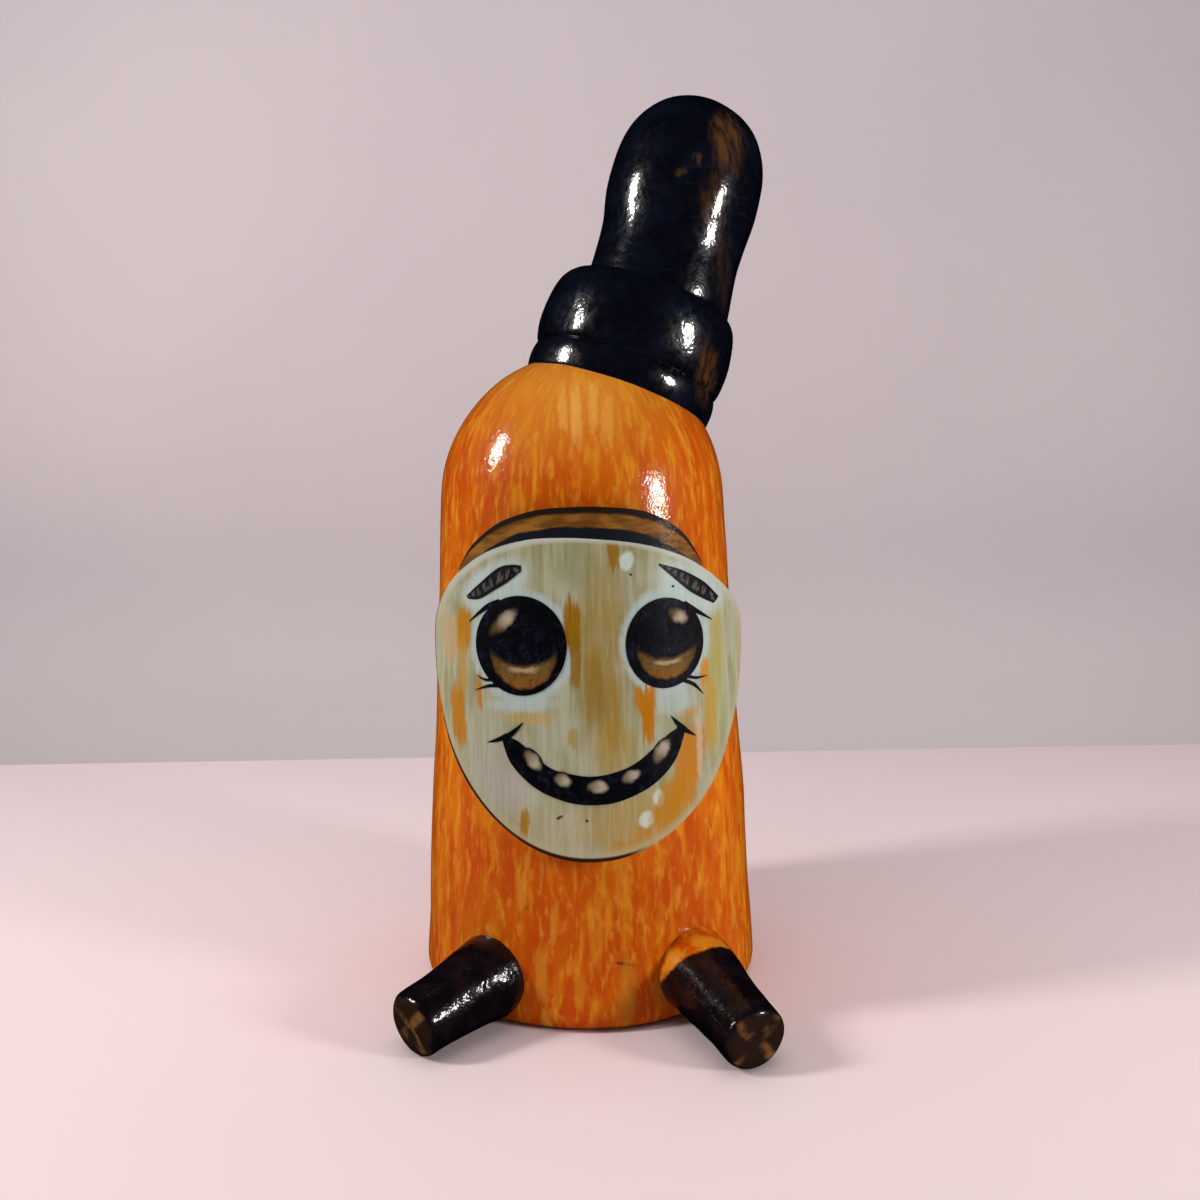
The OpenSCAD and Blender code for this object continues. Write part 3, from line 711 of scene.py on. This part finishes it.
def makeBrowPaint():
    # charcoal acrylic with short grey-tan hairs left open between the strokes
    material, tree, shader, place = newMaterial("charcoalBrowAcrylic", {**filmSockets, "Coat Roughness": 0.2})
    where = addNode(tree, "UVMap")
    hairSpace = addNode(tree, "Mapping", {"Vector": where.outputs[0], "Rotation": (0, 0, 0.35),
                                          "Scale": (17.0, 1.2, 1.0)})
    hairs = addNode(tree, "TexNoise", {"Vector": hairSpace.outputs[0], "Scale": 1.0, "Detail": 1.0})
    split = addNode(tree, "SeparateXYZ", {0: where.outputs[0]})
    inside = maskWhere(tree, fromMiddle(tree, split.outputs["Y"]), 0.36, 0.16)
    colour = paintWhere(tree, srgb("#15161a"), "#6c6962", hairs.outputs["Fac"], 0.42, 0.62, 0.6, inside)
    varnish(tree, shader, colour, place, 0.03, gloss=(0.4, 0.6))
    return material


def makeIrisPaint(iris):
    # amber-brown acrylic glazed under a blue-black pupil, with a cream arc where the two meet
    material, tree, shader, place = newMaterial("glazedAmberAcrylic", filmSockets)
    brush = shaken(tree, place, 1.1, 0.7)
    pupil = frontOval(tree, brush, iris["pupil"], iris["pupilHalf"])[1]
    spot, reach = frontOval(tree, brush, iris["centre"], iris["half"])
    split = addNode(tree, "SeparateXYZ", {0: spot})
    away = addNode(tree, "Math", {0: split.outputs["X"]}, operation="ABSOLUTE").outputs[0]
    swirl = addNode(tree, "TexNoise", {"Vector": place, "Scale": 1 / 1.3, "Detail": 3.0, "Distortion": 2.0})
    dark = paintWhere(tree, srgb("#05070f"), "#111c34", swirl.outputs["Fac"], 0.52, 0.72)
    amber = paintWhere(tree, srgb("#85581f"), "#6e552a", split.outputs["Z"], -0.95, -0.45)
    amber = paintWhere(tree, amber, "#523813", swirl.outputs["Fac"], 0.45, 0.65, 0.6)
    amber = paintWhere(tree, amber, "#3a240e", away, 0.6, 0.98, 0.7)
    colour = paintWhere(tree, dark, amber, pupil, 0.90, 1.10)
    gap = addNode(tree, "Math", {0: pupil, 1: 1.14}, operation="SUBTRACT")
    near = addNode(tree, "Math", {0: gap.outputs[0]}, operation="ABSOLUTE")
    middle = maskWhere(tree, away, 0.55, 0.2)
    colour = paintWhere(tree, colour, "#b8a684", near.outputs[0], 0.12, 0.02, 0.7, middle)
    colour = paintWhere(tree, colour, "#05060b", reach, 0.88, 1.0)
    varnish(tree, shader, colour, place, 0.03, gloss=(0.4, 0.6))
    return material


def makeSoftDab(name, centre, half, tilt, middleCode, edgeCode, rimCode, start):
    # cream acrylic rubbed out with a dry brush: pale in the middle, sinking into the dark ground at its rim
    material, tree, shader, place = newMaterial(name, filmSockets)
    spot, reach = frontOval(tree, shaken(tree, place, 0.9, 0.6), centre, half, tilt)
    split = addNode(tree, "SeparateXYZ", {0: spot})
    colour = paintWhere(tree, srgb(edgeCode), middleCode, split.outputs["X"], -0.5, 0.35)
    colour = paintWhere(tree, colour, rimCode, reach, start, 0.98)
    varnish(tree, shader, colour, place, 0.03, gloss=(0.4, 0.6))
    return material


def layFilm(piece, lift, material, slotName):
    pressOn(piece, plate, lift)
    applyModifier(piece, "SOLIDIFY", thickness=(paintSizes["film"] + lift) * mm, offset=-1)
    cleanUp(piece)
    finishPiece(piece, material, slotName, "face_paint")


linerPaint = makeLinerPaint()
browPaint = makeBrowPaint()
lineLift, fillLift, touchLift = paintSizes["lineLift"], paintSizes["fillLift"], paintSizes["touchLift"]
for eyeName in ("leftEye", "rightEye"):
    eye = paintSizes[eyeName]
    layFilm(drawDisc(eyeName, eye["centre"], eye["half"], steps=36), lineLift, linerPaint, "navy_paint")
for lineName, (root, bend, tip, thick) in thinLines.items():
    across = Vector((tip[1] - root[1], root[0] - tip[0])).normalized() * thick / 2
    spots = [Vector(root), Vector(bend), Vector(tip)]
    halves = [across, across * paintSizes["bendThick"], across * paintSizes["tipThick"]]
    lowEdge = [spot - half for spot, half in zip(spots, halves)]
    highEdge = [spot + half for spot, half in zip(spots, halves)]
    layFilm(drawBetween(lineName, lowEdge, highEdge, 16, 4), lineLift, linerPaint, "navy_paint")
for browName, (lowEdge, highEdge) in brows.items():
    layFilm(drawBetween(browName, lowEdge, highEdge, 24, 6), lineLift, browPaint, "navy_paint")
layFilm(drawBetween("mouth", mouthLow, mouthHigh, 64, 8), lineLift, linerPaint, "navy_paint")
for irisName, iris in irises.items():
    layFilm(drawDisc(irisName, iris["centre"], iris["half"], steps=32), fillLift, makeIrisPaint(iris),
            "ochre_clay")
for glintName, (centre, half, tilt) in glints.items():
    glintPaint = makeSoftDab(glintName + "Acrylic", centre, half, tilt, "#b4a892", "#5e4a2c", "#05060b",
                             0.3)
    layFilm(drawDisc(glintName, centre, half, tilt), touchLift, glintPaint, "cream_clay")
for number, (centre, half, tilt) in enumerate(teeth):
    toothPaint = makeSoftDab("toothAcrylic%d" % number, centre, half, tilt, "#aaa490", "#7a705a", "#0b0b10",
                             0.4)
    layFilm(drawDisc("tooth%d" % number, centre, half, tilt), fillLift, toothPaint, "cream_clay")
print("painted face done")


# hat: band, roll and crown, each rolled from clay and stacked along an axis that leans over the dome

hatSizes = {
    "lean": 20.0,
    "back": 5.0,
    "bandRadius": 13.8,
    "bandHeight": 4.3,
    "bandBulge": 0.25,
    "crease": 0.2,
    "pressIn": 0.5,  # how far band and roll are pressed into each other
    "rollRadius": 14.25,
    "rollHeight": 10.8,
    "rollBelly": 3.4,
    "neckRadius": 12.1,
    "crownShift": 1.0,
    "crownUpright": 5.0,
    "crownFoot": 10.8,
    "waistRadius": 10.4,
    "waistHeight": 7.0,
    "bulbRadius": 11.2,
    "bulbHeight": 16.0,
    "crownHeight": 29.8,
    "crownPower": 2.4,
    "lumpSize": 8.0,
    "lumpHeight": 0.4,
}
# along the hat's axis, from the centre of the dome
bandFoot = math.sqrt(domeRadius ** 2 - hatSizes["bandRadius"] ** 2)
bandTop = bandFoot + hatSizes["bandHeight"]
rollTop = bandTop + hatSizes["rollHeight"]


def makeBlackPaint():
    # black acrylic under thick gloss varnish: hard highlights with broken edges, grey dry-brush scuffs,
    # and ochre ground where handling wore the black through
    material, tree, shader, place = newMaterial("varnishedBlackAcrylic", {
        "IOR": 1.52, "Specular IOR Level": 0.15, "Coat Weight": 0.75, "Coat Roughness": 0.06})
    blot = addNode(tree, "TexNoise", {"Vector": place, "Scale": 1 / 5.0, "Detail": 3.0})
    colour = paintWhere(tree, srgb("#070a13"), "#0d1220", blot.outputs["Fac"], 0.4, 0.75)
    scuffSpace = addNode(tree, "Mapping", {"Vector": place, "Rotation": (0, 0.6, 0),
                                           "Scale": (1 / 9.0, 1 / 6.0, 1 / 0.7)})
    scuffs = addNode(tree, "TexNoise", {"Vector": scuffSpace.outputs[0], "Scale": 1.0, "Detail": 4.0})
    colour = paintWhere(tree, colour, "#262b33", scuffs.outputs["Fac"], 0.62, 0.8, 0.4)
    brush = shaken(tree, place, 2.0, 2.4)
    hold = maskWhere(tree, streaks(tree, place, 0.8, 3.5, 3.0), 0.28, 0.72)
    # where the black is worn: x, y, z, half sizes, colour, cover
    wornSpots = [
        ((21.0, -5.0, 118.0), (2.6, 9.0, 4.8), "#6e4820", 0.65),
        ((18.8, -8.0, 109.5), (1.7, 6.0, 5.0), "#52350f", 0.6),
        ((20.5, -3.0, 101.0), (1.4, 6.0, 6.0), "#3a2814", 0.6),
        ((14.3, -9.0, 113.2), (0.9, 4.0, 0.9), "#5a4020", 0.7),
        ((16.8, -8.0, 115.1), (0.8, 4.0, 0.8), "#5a4020", 0.7),
        ((17.8, -9.0, 86.0), (1.9, 6.0, 4.5), "#5e3e16", 0.75),
    ]
    for spotPlace, half, code, cover in wornSpots:
        spot = addNode(tree, "Mapping", {"Vector": brush, "Location": spotPlace, "Scale": half},
                       vector_type="TEXTURE")
        reach = addNode(tree, "VectorMath", {0: spot.outputs[0]}, operation="LENGTH")
        colour = paintWhere(tree, colour, code, reach.outputs["Value"], 1.3, 0.5, cover, hold)
    varnish(tree, shader, colour, place, 0.05, ripple=1.1, speck=0.4)
    return material


def ease(share):
    return (1 - math.cos(math.pi * share)) / 2


def bandRings():
    foot, top, radius = bandFoot, bandTop, hatSizes["bandRadius"]
    rings = [(foot - 2.5, radius - 1.5), (foot - 0.3, radius - 0.35)]  # tucked into the dome
    steps = 8
    for step in range(steps + 1):
        share = step / steps
        rings.append((foot + (top - foot) * share,
                      radius + hatSizes["bandBulge"] * math.sin(math.pi * share)
                      - hatSizes["crease"] * share ** 6))
    # its top is pressed into the roll, which leaves a crease and no slot
    pressed = top + hatSizes["pressIn"]
    return rings + [(pressed, radius - hatSizes["crease"] - 0.7), (pressed, tipRadius)]


def rollRings():
    foot, belly, top = bandTop, bandTop + hatSizes["rollBelly"], rollTop
    start = hatSizes["bandRadius"] - hatSizes["crease"]
    fat, neck = hatSizes["rollRadius"], hatSizes["neckRadius"]
    lowSteps, highSteps = 8, 10
    rings = [(foot - hatSizes["pressIn"], start - 0.8)]
    for step in range(lowSteps + 1):
        angle = math.pi / 2 * step / lowSteps
        rings.append((foot + (belly - foot) * (1 - math.cos(angle)),
                      start + (fat - start) * math.sin(angle)))
    for step in range(1, highSteps + 1):
        angle = math.pi / 2 * step / highSteps
        rings.append((belly + (top - belly) * math.sin(angle), neck + (fat - neck) * math.cos(angle)))
    return rings + [(top, neck - 3), (top, tipRadius)]


def crownRings():
    foot, waist, bulb = hatSizes["crownFoot"], hatSizes["waistRadius"], hatSizes["bulbRadius"]
    low, middle, tall = hatSizes["waistHeight"], hatSizes["bulbHeight"], hatSizes["crownHeight"]
    footSteps, bulbSteps, topSteps = 8, 10, 20
    rings = [(-2.0, foot)]  # starts inside the roll
    for step in range(footSteps + 1):
        rings.append((low * step / footSteps, foot + (waist - foot) * ease(step / footSteps)))
    for step in range(1, bulbSteps + 1):
        rings.append((low + (middle - low) * step / bulbSteps,
                      waist + (bulb - waist) * ease(step / bulbSteps)))
    power = 2 / hatSizes["crownPower"]
    for step in range(1, topSteps + 1):
        angle = math.pi / 2 * step / topSteps
        rings.append((middle + (tall - middle) * math.sin(angle) ** power,
                      max(bulb * math.cos(angle) ** power, tipRadius)))
    return rings


blackPaint = makeBlackPaint()
hatAxis = (Matrix.Translation((0, 0, domeHeight * mm))
           @ Matrix.Rotation(math.radians(hatSizes["lean"]), 4, "Y")
           @ Matrix.Rotation(math.radians(-hatSizes["back"]), 4, "X"))
crownPlace = (hatAxis @ Matrix.Translation((hatSizes["crownShift"] * mm, 0, rollTop * mm))
              @ Matrix.Rotation(math.radians(-hatSizes["crownUpright"]), 4, "Y"))
for hatName, node, rings, where in (("hatBand", "hat_band", bandRings(), hatAxis),
                                    ("hatRoll", "hat_roll", rollRings(), hatAxis),
                                    ("hatCrown", "hat_crown", crownRings(), crownPlace)):
    hatPiece = stackRings(hatName, rings)
    applyModifier(hatPiece, "SUBSURF", levels=1, render_levels=1)
    settle(hatPiece, where)
    addLumps(hatPiece, hatSizes["lumpSize"], hatSizes["lumpHeight"])
    cleanUp(hatPiece)
    finishPiece(hatPiece, blackPaint, "black_clay", node)
print("hat done")


# feet: short logs pressed against the body, cut off at the toes

footSizes = {
    "left": {"spread": -34.0, "turn": -44.0, "length": 13.0, "orange": -4.0},
    "right": {"spread": 35.5, "turn": 23.0, "length": 16.0, "orange": 1.0},
    "slope": 9.0,
    "toeRadius": 4.3,
    "rootRadius": 5.6,
    "toeRound": 1.2,
    "toeFlat": 0.3,
    "rootDepth": 5.0,
    "flarePower": 1.6,
    "dish": 0.2,
    "sideRoom": 0.05,  # room for the lumps inside the box of the solids
    "endRoom": 0.15,
    "lumpSize": 5.0,
    "lumpHeight": 0.35,
}


def footPlace(foot):
    slope = math.radians(footSizes["slope"])
    rootHeight = (footSizes["toeRadius"] * math.cos(slope) + foot["length"] * math.sin(slope)
                  - footSizes["toeFlat"])
    spread = math.radians(foot["spread"])
    reach = flankRadius(rootHeight)
    root = Vector((reach * math.sin(spread), -reach * math.cos(spread), rootHeight))
    return root, (math.radians(90) + slope, 0, math.radians(foot["turn"]))


def footRings(length):
    toe, root = footSizes["toeRadius"] - footSizes["sideRoom"], footSizes["rootRadius"]
    edge, power = footSizes["toeRound"], footSizes["flarePower"]
    length -= footSizes["endRoom"]
    flareSteps, edgeSteps = 10, 6
    rings = [(-footSizes["rootDepth"], root - 0.2)]
    for step in range(flareSteps + 1):  # flares towards the body
        share = step / flareSteps
        rings.append(((length - edge) * share, toe + (root - toe) * (1 - share) ** power))
    for step in range(1, edgeSteps + 1):
        angle = math.pi / 2 * step / edgeSteps
        rings.append((length - edge + edge * math.sin(angle), toe - edge + edge * math.cos(angle)))
    # the cut end is slightly dished
    return rings + [(length, toe - 2.2), (length - 0.15, toe - 3.2), (length - footSizes["dish"], tipRadius)]


def makeFootPaint(side):
    # black-brown acrylic under thick varnish with pin bubbles, the cut end rubbed ochre-brown
    # in a faint cross, and orange from the body run over the top of the root
    foot = footSizes[side]
    root, angles = footPlace(foot)
    material, tree, shader, place = newMaterial(side + "FootAcrylic", {
        "IOR": 1.52, "Specular IOR Level": 0.12, "Coat Weight": 0.5, "Coat Roughness": 0.04})
    local = addNode(tree, "Mapping", {"Vector": place, "Location": root, "Rotation": angles},
                    vector_type="TEXTURE")
    brush = shaken(tree, local.outputs[0], 1.6, 1.1)
    part = addNode(tree, "SeparateXYZ", {0: brush})
    blot = addNode(tree, "TexNoise", {"Vector": place, "Scale": 1 / 3.0, "Detail": 3.0})
    colour = paintWhere(tree, srgb("#0a080c"), "#1b1016", blot.outputs["Fac"], 0.42, 0.7)
    cutEnd = (part.outputs["Z"], foot["length"] - 0.8, foot["length"] - 0.3)
    colour = paintWhere(tree, colour, "#2a1d16", *cutEnd)
    wide = addNode(tree, "Math", {0: part.outputs["X"]}, operation="ABSOLUTE")
    tall = addNode(tree, "Math", {0: part.outputs["Y"]}, operation="ABSOLUTE")
    apart = addNode(tree, "Math", {0: wide.outputs[0], 1: tall.outputs[0]}, operation="SUBTRACT")
    arm = addNode(tree, "Math", {0: apart.outputs[0]}, operation="ABSOLUTE")
    patchy = maskWhere(tree, blot.outputs["Fac"], 0.36, 0.6, within=maskWhere(tree, *cutEnd))
    colour = paintWhere(tree, colour, "#7a5630", arm.outputs[0], 1.3, 0.3, within=patchy)
    lifted = addNode(tree, "Math", {0: part.outputs["Y"], 1: -0.45, 2: part.outputs["Z"]},
                     operation="MULTIPLY_ADD")
    orange = paintWhere(tree, srgb("#c24e02"), "#da8a1e", blot.outputs["Fac"], 0.42, 0.58)
    colour = paintWhere(tree, colour, orange, lifted.outputs[0], foot["orange"] + 0.3, foot["orange"] - 0.3)
    varnish(tree, shader, colour, place, 0.09, ripple=1.2, speck=0.4)
    return material


for side in ("left", "right"):
    foot = footSizes[side]
    root, angles = footPlace(foot)
    footPiece = stackRings(side + "Foot", footRings(foot["length"]), sides=64)
    applyModifier(footPiece, "SUBSURF", levels=1, render_levels=1)
    turned = Matrix.Rotation(angles[2], 4, "Z") @ Matrix.Rotation(angles[0], 4, "X")
    settle(footPiece, Matrix.Translation(root * mm) @ turned)
    addLumps(footPiece, footSizes["lumpSize"], footSizes["lumpHeight"])
    standOnTable(footPiece)
    cleanUp(footPiece)
    finishPiece(footPiece, makeFootPaint(side), "foot_clay", side + "_foot")
print("feet done")


# pieces inside the clay keep their CAD shapes and get their own materials

def makeBirch():
    # sanded birch, rotary cut: pale, with fine darker lines along the grain
    material, tree, shader, place = newMaterial("sandedBirch", {"IOR": 1.46, "Roughness": 0.6})
    grain = streaks(tree, place, 0.6, 14.0, 4.0)
    line = addNode(tree, "MapRange", {"Value": grain, "From Min": 0.4, "From Max": 0.65})
    wood = addNode(tree, "Mix", {0: line.outputs[0], 6: srgb("#dcc39a"), 7: srgb("#b8935f")},
                   data_type="RGBA")
    bareFinish(tree, shader, wood.outputs[2], grain, 0.04)
    return material


def makeFoil():
    # aluminium foil, crushed by hand: bright facets between sharp creases, with painted shade darkening the
    # colour along the creases
    material, tree, shader, place = newMaterial("crushedFoil", {"Metallic": 1.0, "Roughness": 0.28})
    crease = addNode(tree, "TexVoronoi", {"Vector": place, "Scale": 1 / 3.5}, feature="DISTANCE_TO_EDGE")
    # painted shade: the colour darkens along the creases
    creaseShade = addNode(tree, "MapRange", {"Value": crease.outputs["Distance"], "From Max": 0.25})
    facetsWithCreaseShade = addNode(tree, "Mix", {0: creaseShade.outputs[0], 6: srgb("#9a9a9c"), 7: srgb("#dedede")},
                    data_type="RGBA")
    bareFinish(tree, shader, facetsWithCreaseShade.outputs[2], crease.outputs["Distance"], 0.6)
    return material


def makeBareClay():
    # air-dry clay, pressed on a board and left bare: matt off-white with orange paint run in from its rim
    material, tree, shader, place = newMaterial("pressedBareClay", {"IOR": 1.45, "Roughness": 0.8})
    flat = addNode(tree, "VectorMath", {0: place, 1: (1, 1, 0)}, operation="MULTIPLY")
    reach = addNode(tree, "VectorMath", {0: flat.outputs[0]}, operation="LENGTH")
    grit = addNode(tree, "TexNoise", {"Vector": place, "Scale": 1 / 1.2, "Detail": 5.0})
    spread = addNode(tree, "Math", {0: grit.outputs["Fac"], 1: 7.0, 2: reach.outputs["Value"]},
                     operation="MULTIPLY_ADD")
    run = addNode(tree, "MapRange", {"Value": spread.outputs[0], "From Min": 20.0, "From Max": 22.5})
    clay = addNode(tree, "Mix", {0: grit.outputs["Fac"], 6: srgb("#b8ab98"), 7: srgb("#d6cbb9")},
                   data_type="RGBA")
    mixed = addNode(tree, "Mix", {0: run.outputs[0], 6: clay.outputs[2], 7: srgb("#b35307")},
                    data_type="RGBA")
    bareFinish(tree, shader, mixed.outputs[2], grit.outputs["Fac"], 0.12)
    return material


birch = makeBirch()
innerMaterials = {
    "armature_stick": birch,
    "left_foot_peg": birch,
    "right_foot_peg": birch,
    "foil_core": makeFoil(),
    "base_disc": makeBareClay(),
}
for node, material in innerMaterials.items():
    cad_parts[node].data.materials.clear()
    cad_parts[node].data.materials.append(material)
print("inner pieces dressed")


# table, light and camera

stageSizes = {
    "tableBack": 122.0,
    "tableFront": -700.0,
    "halfWidth": 700.0,
    "wallAt": 200.0,
    "wallFoot": -300.0,
    "wallTop": 700.0,
    "room": "#d6cccb",
    "ambient": 0.22,
}
cameraSizes = {
    "place": (2.26, -149.5, 68.7),
    "pitch": 5.5,
    "roll": 1.0,
    "focal": 1010.0,  # in pixels of the 1200 by 1200 frame
    "frame": 1200.0,
    "sensor": 36.0,
}
# place, aim, width and height, power in watts, colour, whether it shows in the varnish
softboxes = {
    "leftBox": ((-284, -76, 227), (0, 0, 75), (44, 100), 0.74, "#fff8f4", True),
    "rightBox": ((284, -165, 118), (0, 0, 75), (56, 68), 0.60, "#fff8f4", True),
    "topBox": ((0, -60, 520), (0, 0, 0), (420, 420), 0.85, "#fffafa", False),
}


def makeBoardPaint(name, lowCode, highCode, footTintAndPaintedLight):
    # matt painted board: pale, warm and nearly even; on the wall, painted light makes it paler towards its
    # foot
    material, tree, shader, place = newMaterial(name, {"Roughness": 0.6})
    cloud = addNode(tree, "TexNoise", {"Vector": place, "Scale": 1 / 90.0, "Detail": 2.0})
    colour = addNode(tree, "Mix", {0: cloud.outputs["Fac"], 6: srgb(lowCode), 7: srgb(highCode)},
                     data_type="RGBA").outputs[2]
    part = addNode(tree, "SeparateXYZ", {0: place})
    # painted light brightens the wall towards its foot; the table, lying at height 0, takes this colour as an
    # even tint
    colour = paintWhere(tree, colour, footTintAndPaintedLight, part.outputs["Z"], 60.0, -15.0)
    tree.links.new(colour, shader.inputs["Base Color"])
    return material


def standBoard(name, middle, half, tip, material):  # a flat board of the stage, lying or standing
    board = addNamed(name, bpy.ops.mesh.primitive_plane_add, size=2)
    settle(board, Matrix.Translation(Vector(middle) * mm) @ Matrix.Rotation(math.radians(tip), 4, "X")
           @ Matrix.Diagonal((half[0] * mm, half[1] * mm, 1, 1)))
    board.data.materials.append(material)
    board.visible_glossy = False


halfDeep = (stageSizes["tableBack"] - stageSizes["tableFront"]) / 2
standBoard("tableTop", (0, stageSizes["tableBack"] - halfDeep, 0), (stageSizes["halfWidth"], halfDeep), 0,
           makeBoardPaint("mattPaleBoard", "#eedee1", "#f6e7ea", "#f1e1e4"))
halfTall = (stageSizes["wallTop"] - stageSizes["wallFoot"]) / 2
standBoard("backWall", (0, stageSizes["wallAt"], stageSizes["wallTop"] - halfTall),
           (stageSizes["halfWidth"], halfTall), 90,
           makeBoardPaint("mattGreyWall", "#cac3c8", "#d4cdd1", "#f5ecf0"))

world = bpy.data.worlds.new("paleRoom")
world.use_nodes = True
sky = world.node_tree.nodes["Background"]
sky.inputs["Color"].default_value = srgb(stageSizes["room"])
sky.inputs["Strength"].default_value = stageSizes["ambient"]
world.cycles_visibility.glossy = False  # the varnish shows the lamps and the figure itself
bpy.context.scene.world = world
bpy.context.scene.view_settings.view_transform = "Standard"

for boxName, (spot, aim, size, power, code, shows) in softboxes.items():
    box = addNamed(boxName, bpy.ops.object.light_add, type="AREA", location=Vector(spot) * mm)
    box.rotation_euler = (Vector(aim) - Vector(spot)).to_track_quat("-Z", "Y").to_euler()
    box.data.shape = "RECTANGLE"
    box.data.size = size[0] * mm
    box.data.size_y = size[1] * mm
    box.data.energy = power
    box.data.color = srgb(code)[:3]
    box.visible_glossy = shows

pitch = math.radians(cameraSizes["pitch"])
roll = math.radians(cameraSizes["roll"])
ahead = Vector((0, math.cos(pitch), -math.sin(pitch)))
level = Vector((1, 0, 0))
upright = Vector((0, math.sin(pitch), math.cos(pitch)))
right = level * math.cos(roll) - upright * math.sin(roll)
top = upright * math.cos(roll) + level * math.sin(roll)
camera = addNamed("photoCamera", bpy.ops.object.camera_add)
turned = Matrix((right, top, -ahead)).transposed().to_4x4()
camera.matrix_world = Matrix.Translation(Vector(cameraSizes["place"]) * mm) @ turned
camera.data.sensor_width = cameraSizes["sensor"]
camera.data.lens = cameraSizes["sensor"] * cameraSizes["focal"] / cameraSizes["frame"]
camera.data.clip_start = 0.005
camera.data.dof.use_dof = False
bpy.context.scene.camera = camera
print("table, lights and camera done")

freshStart()
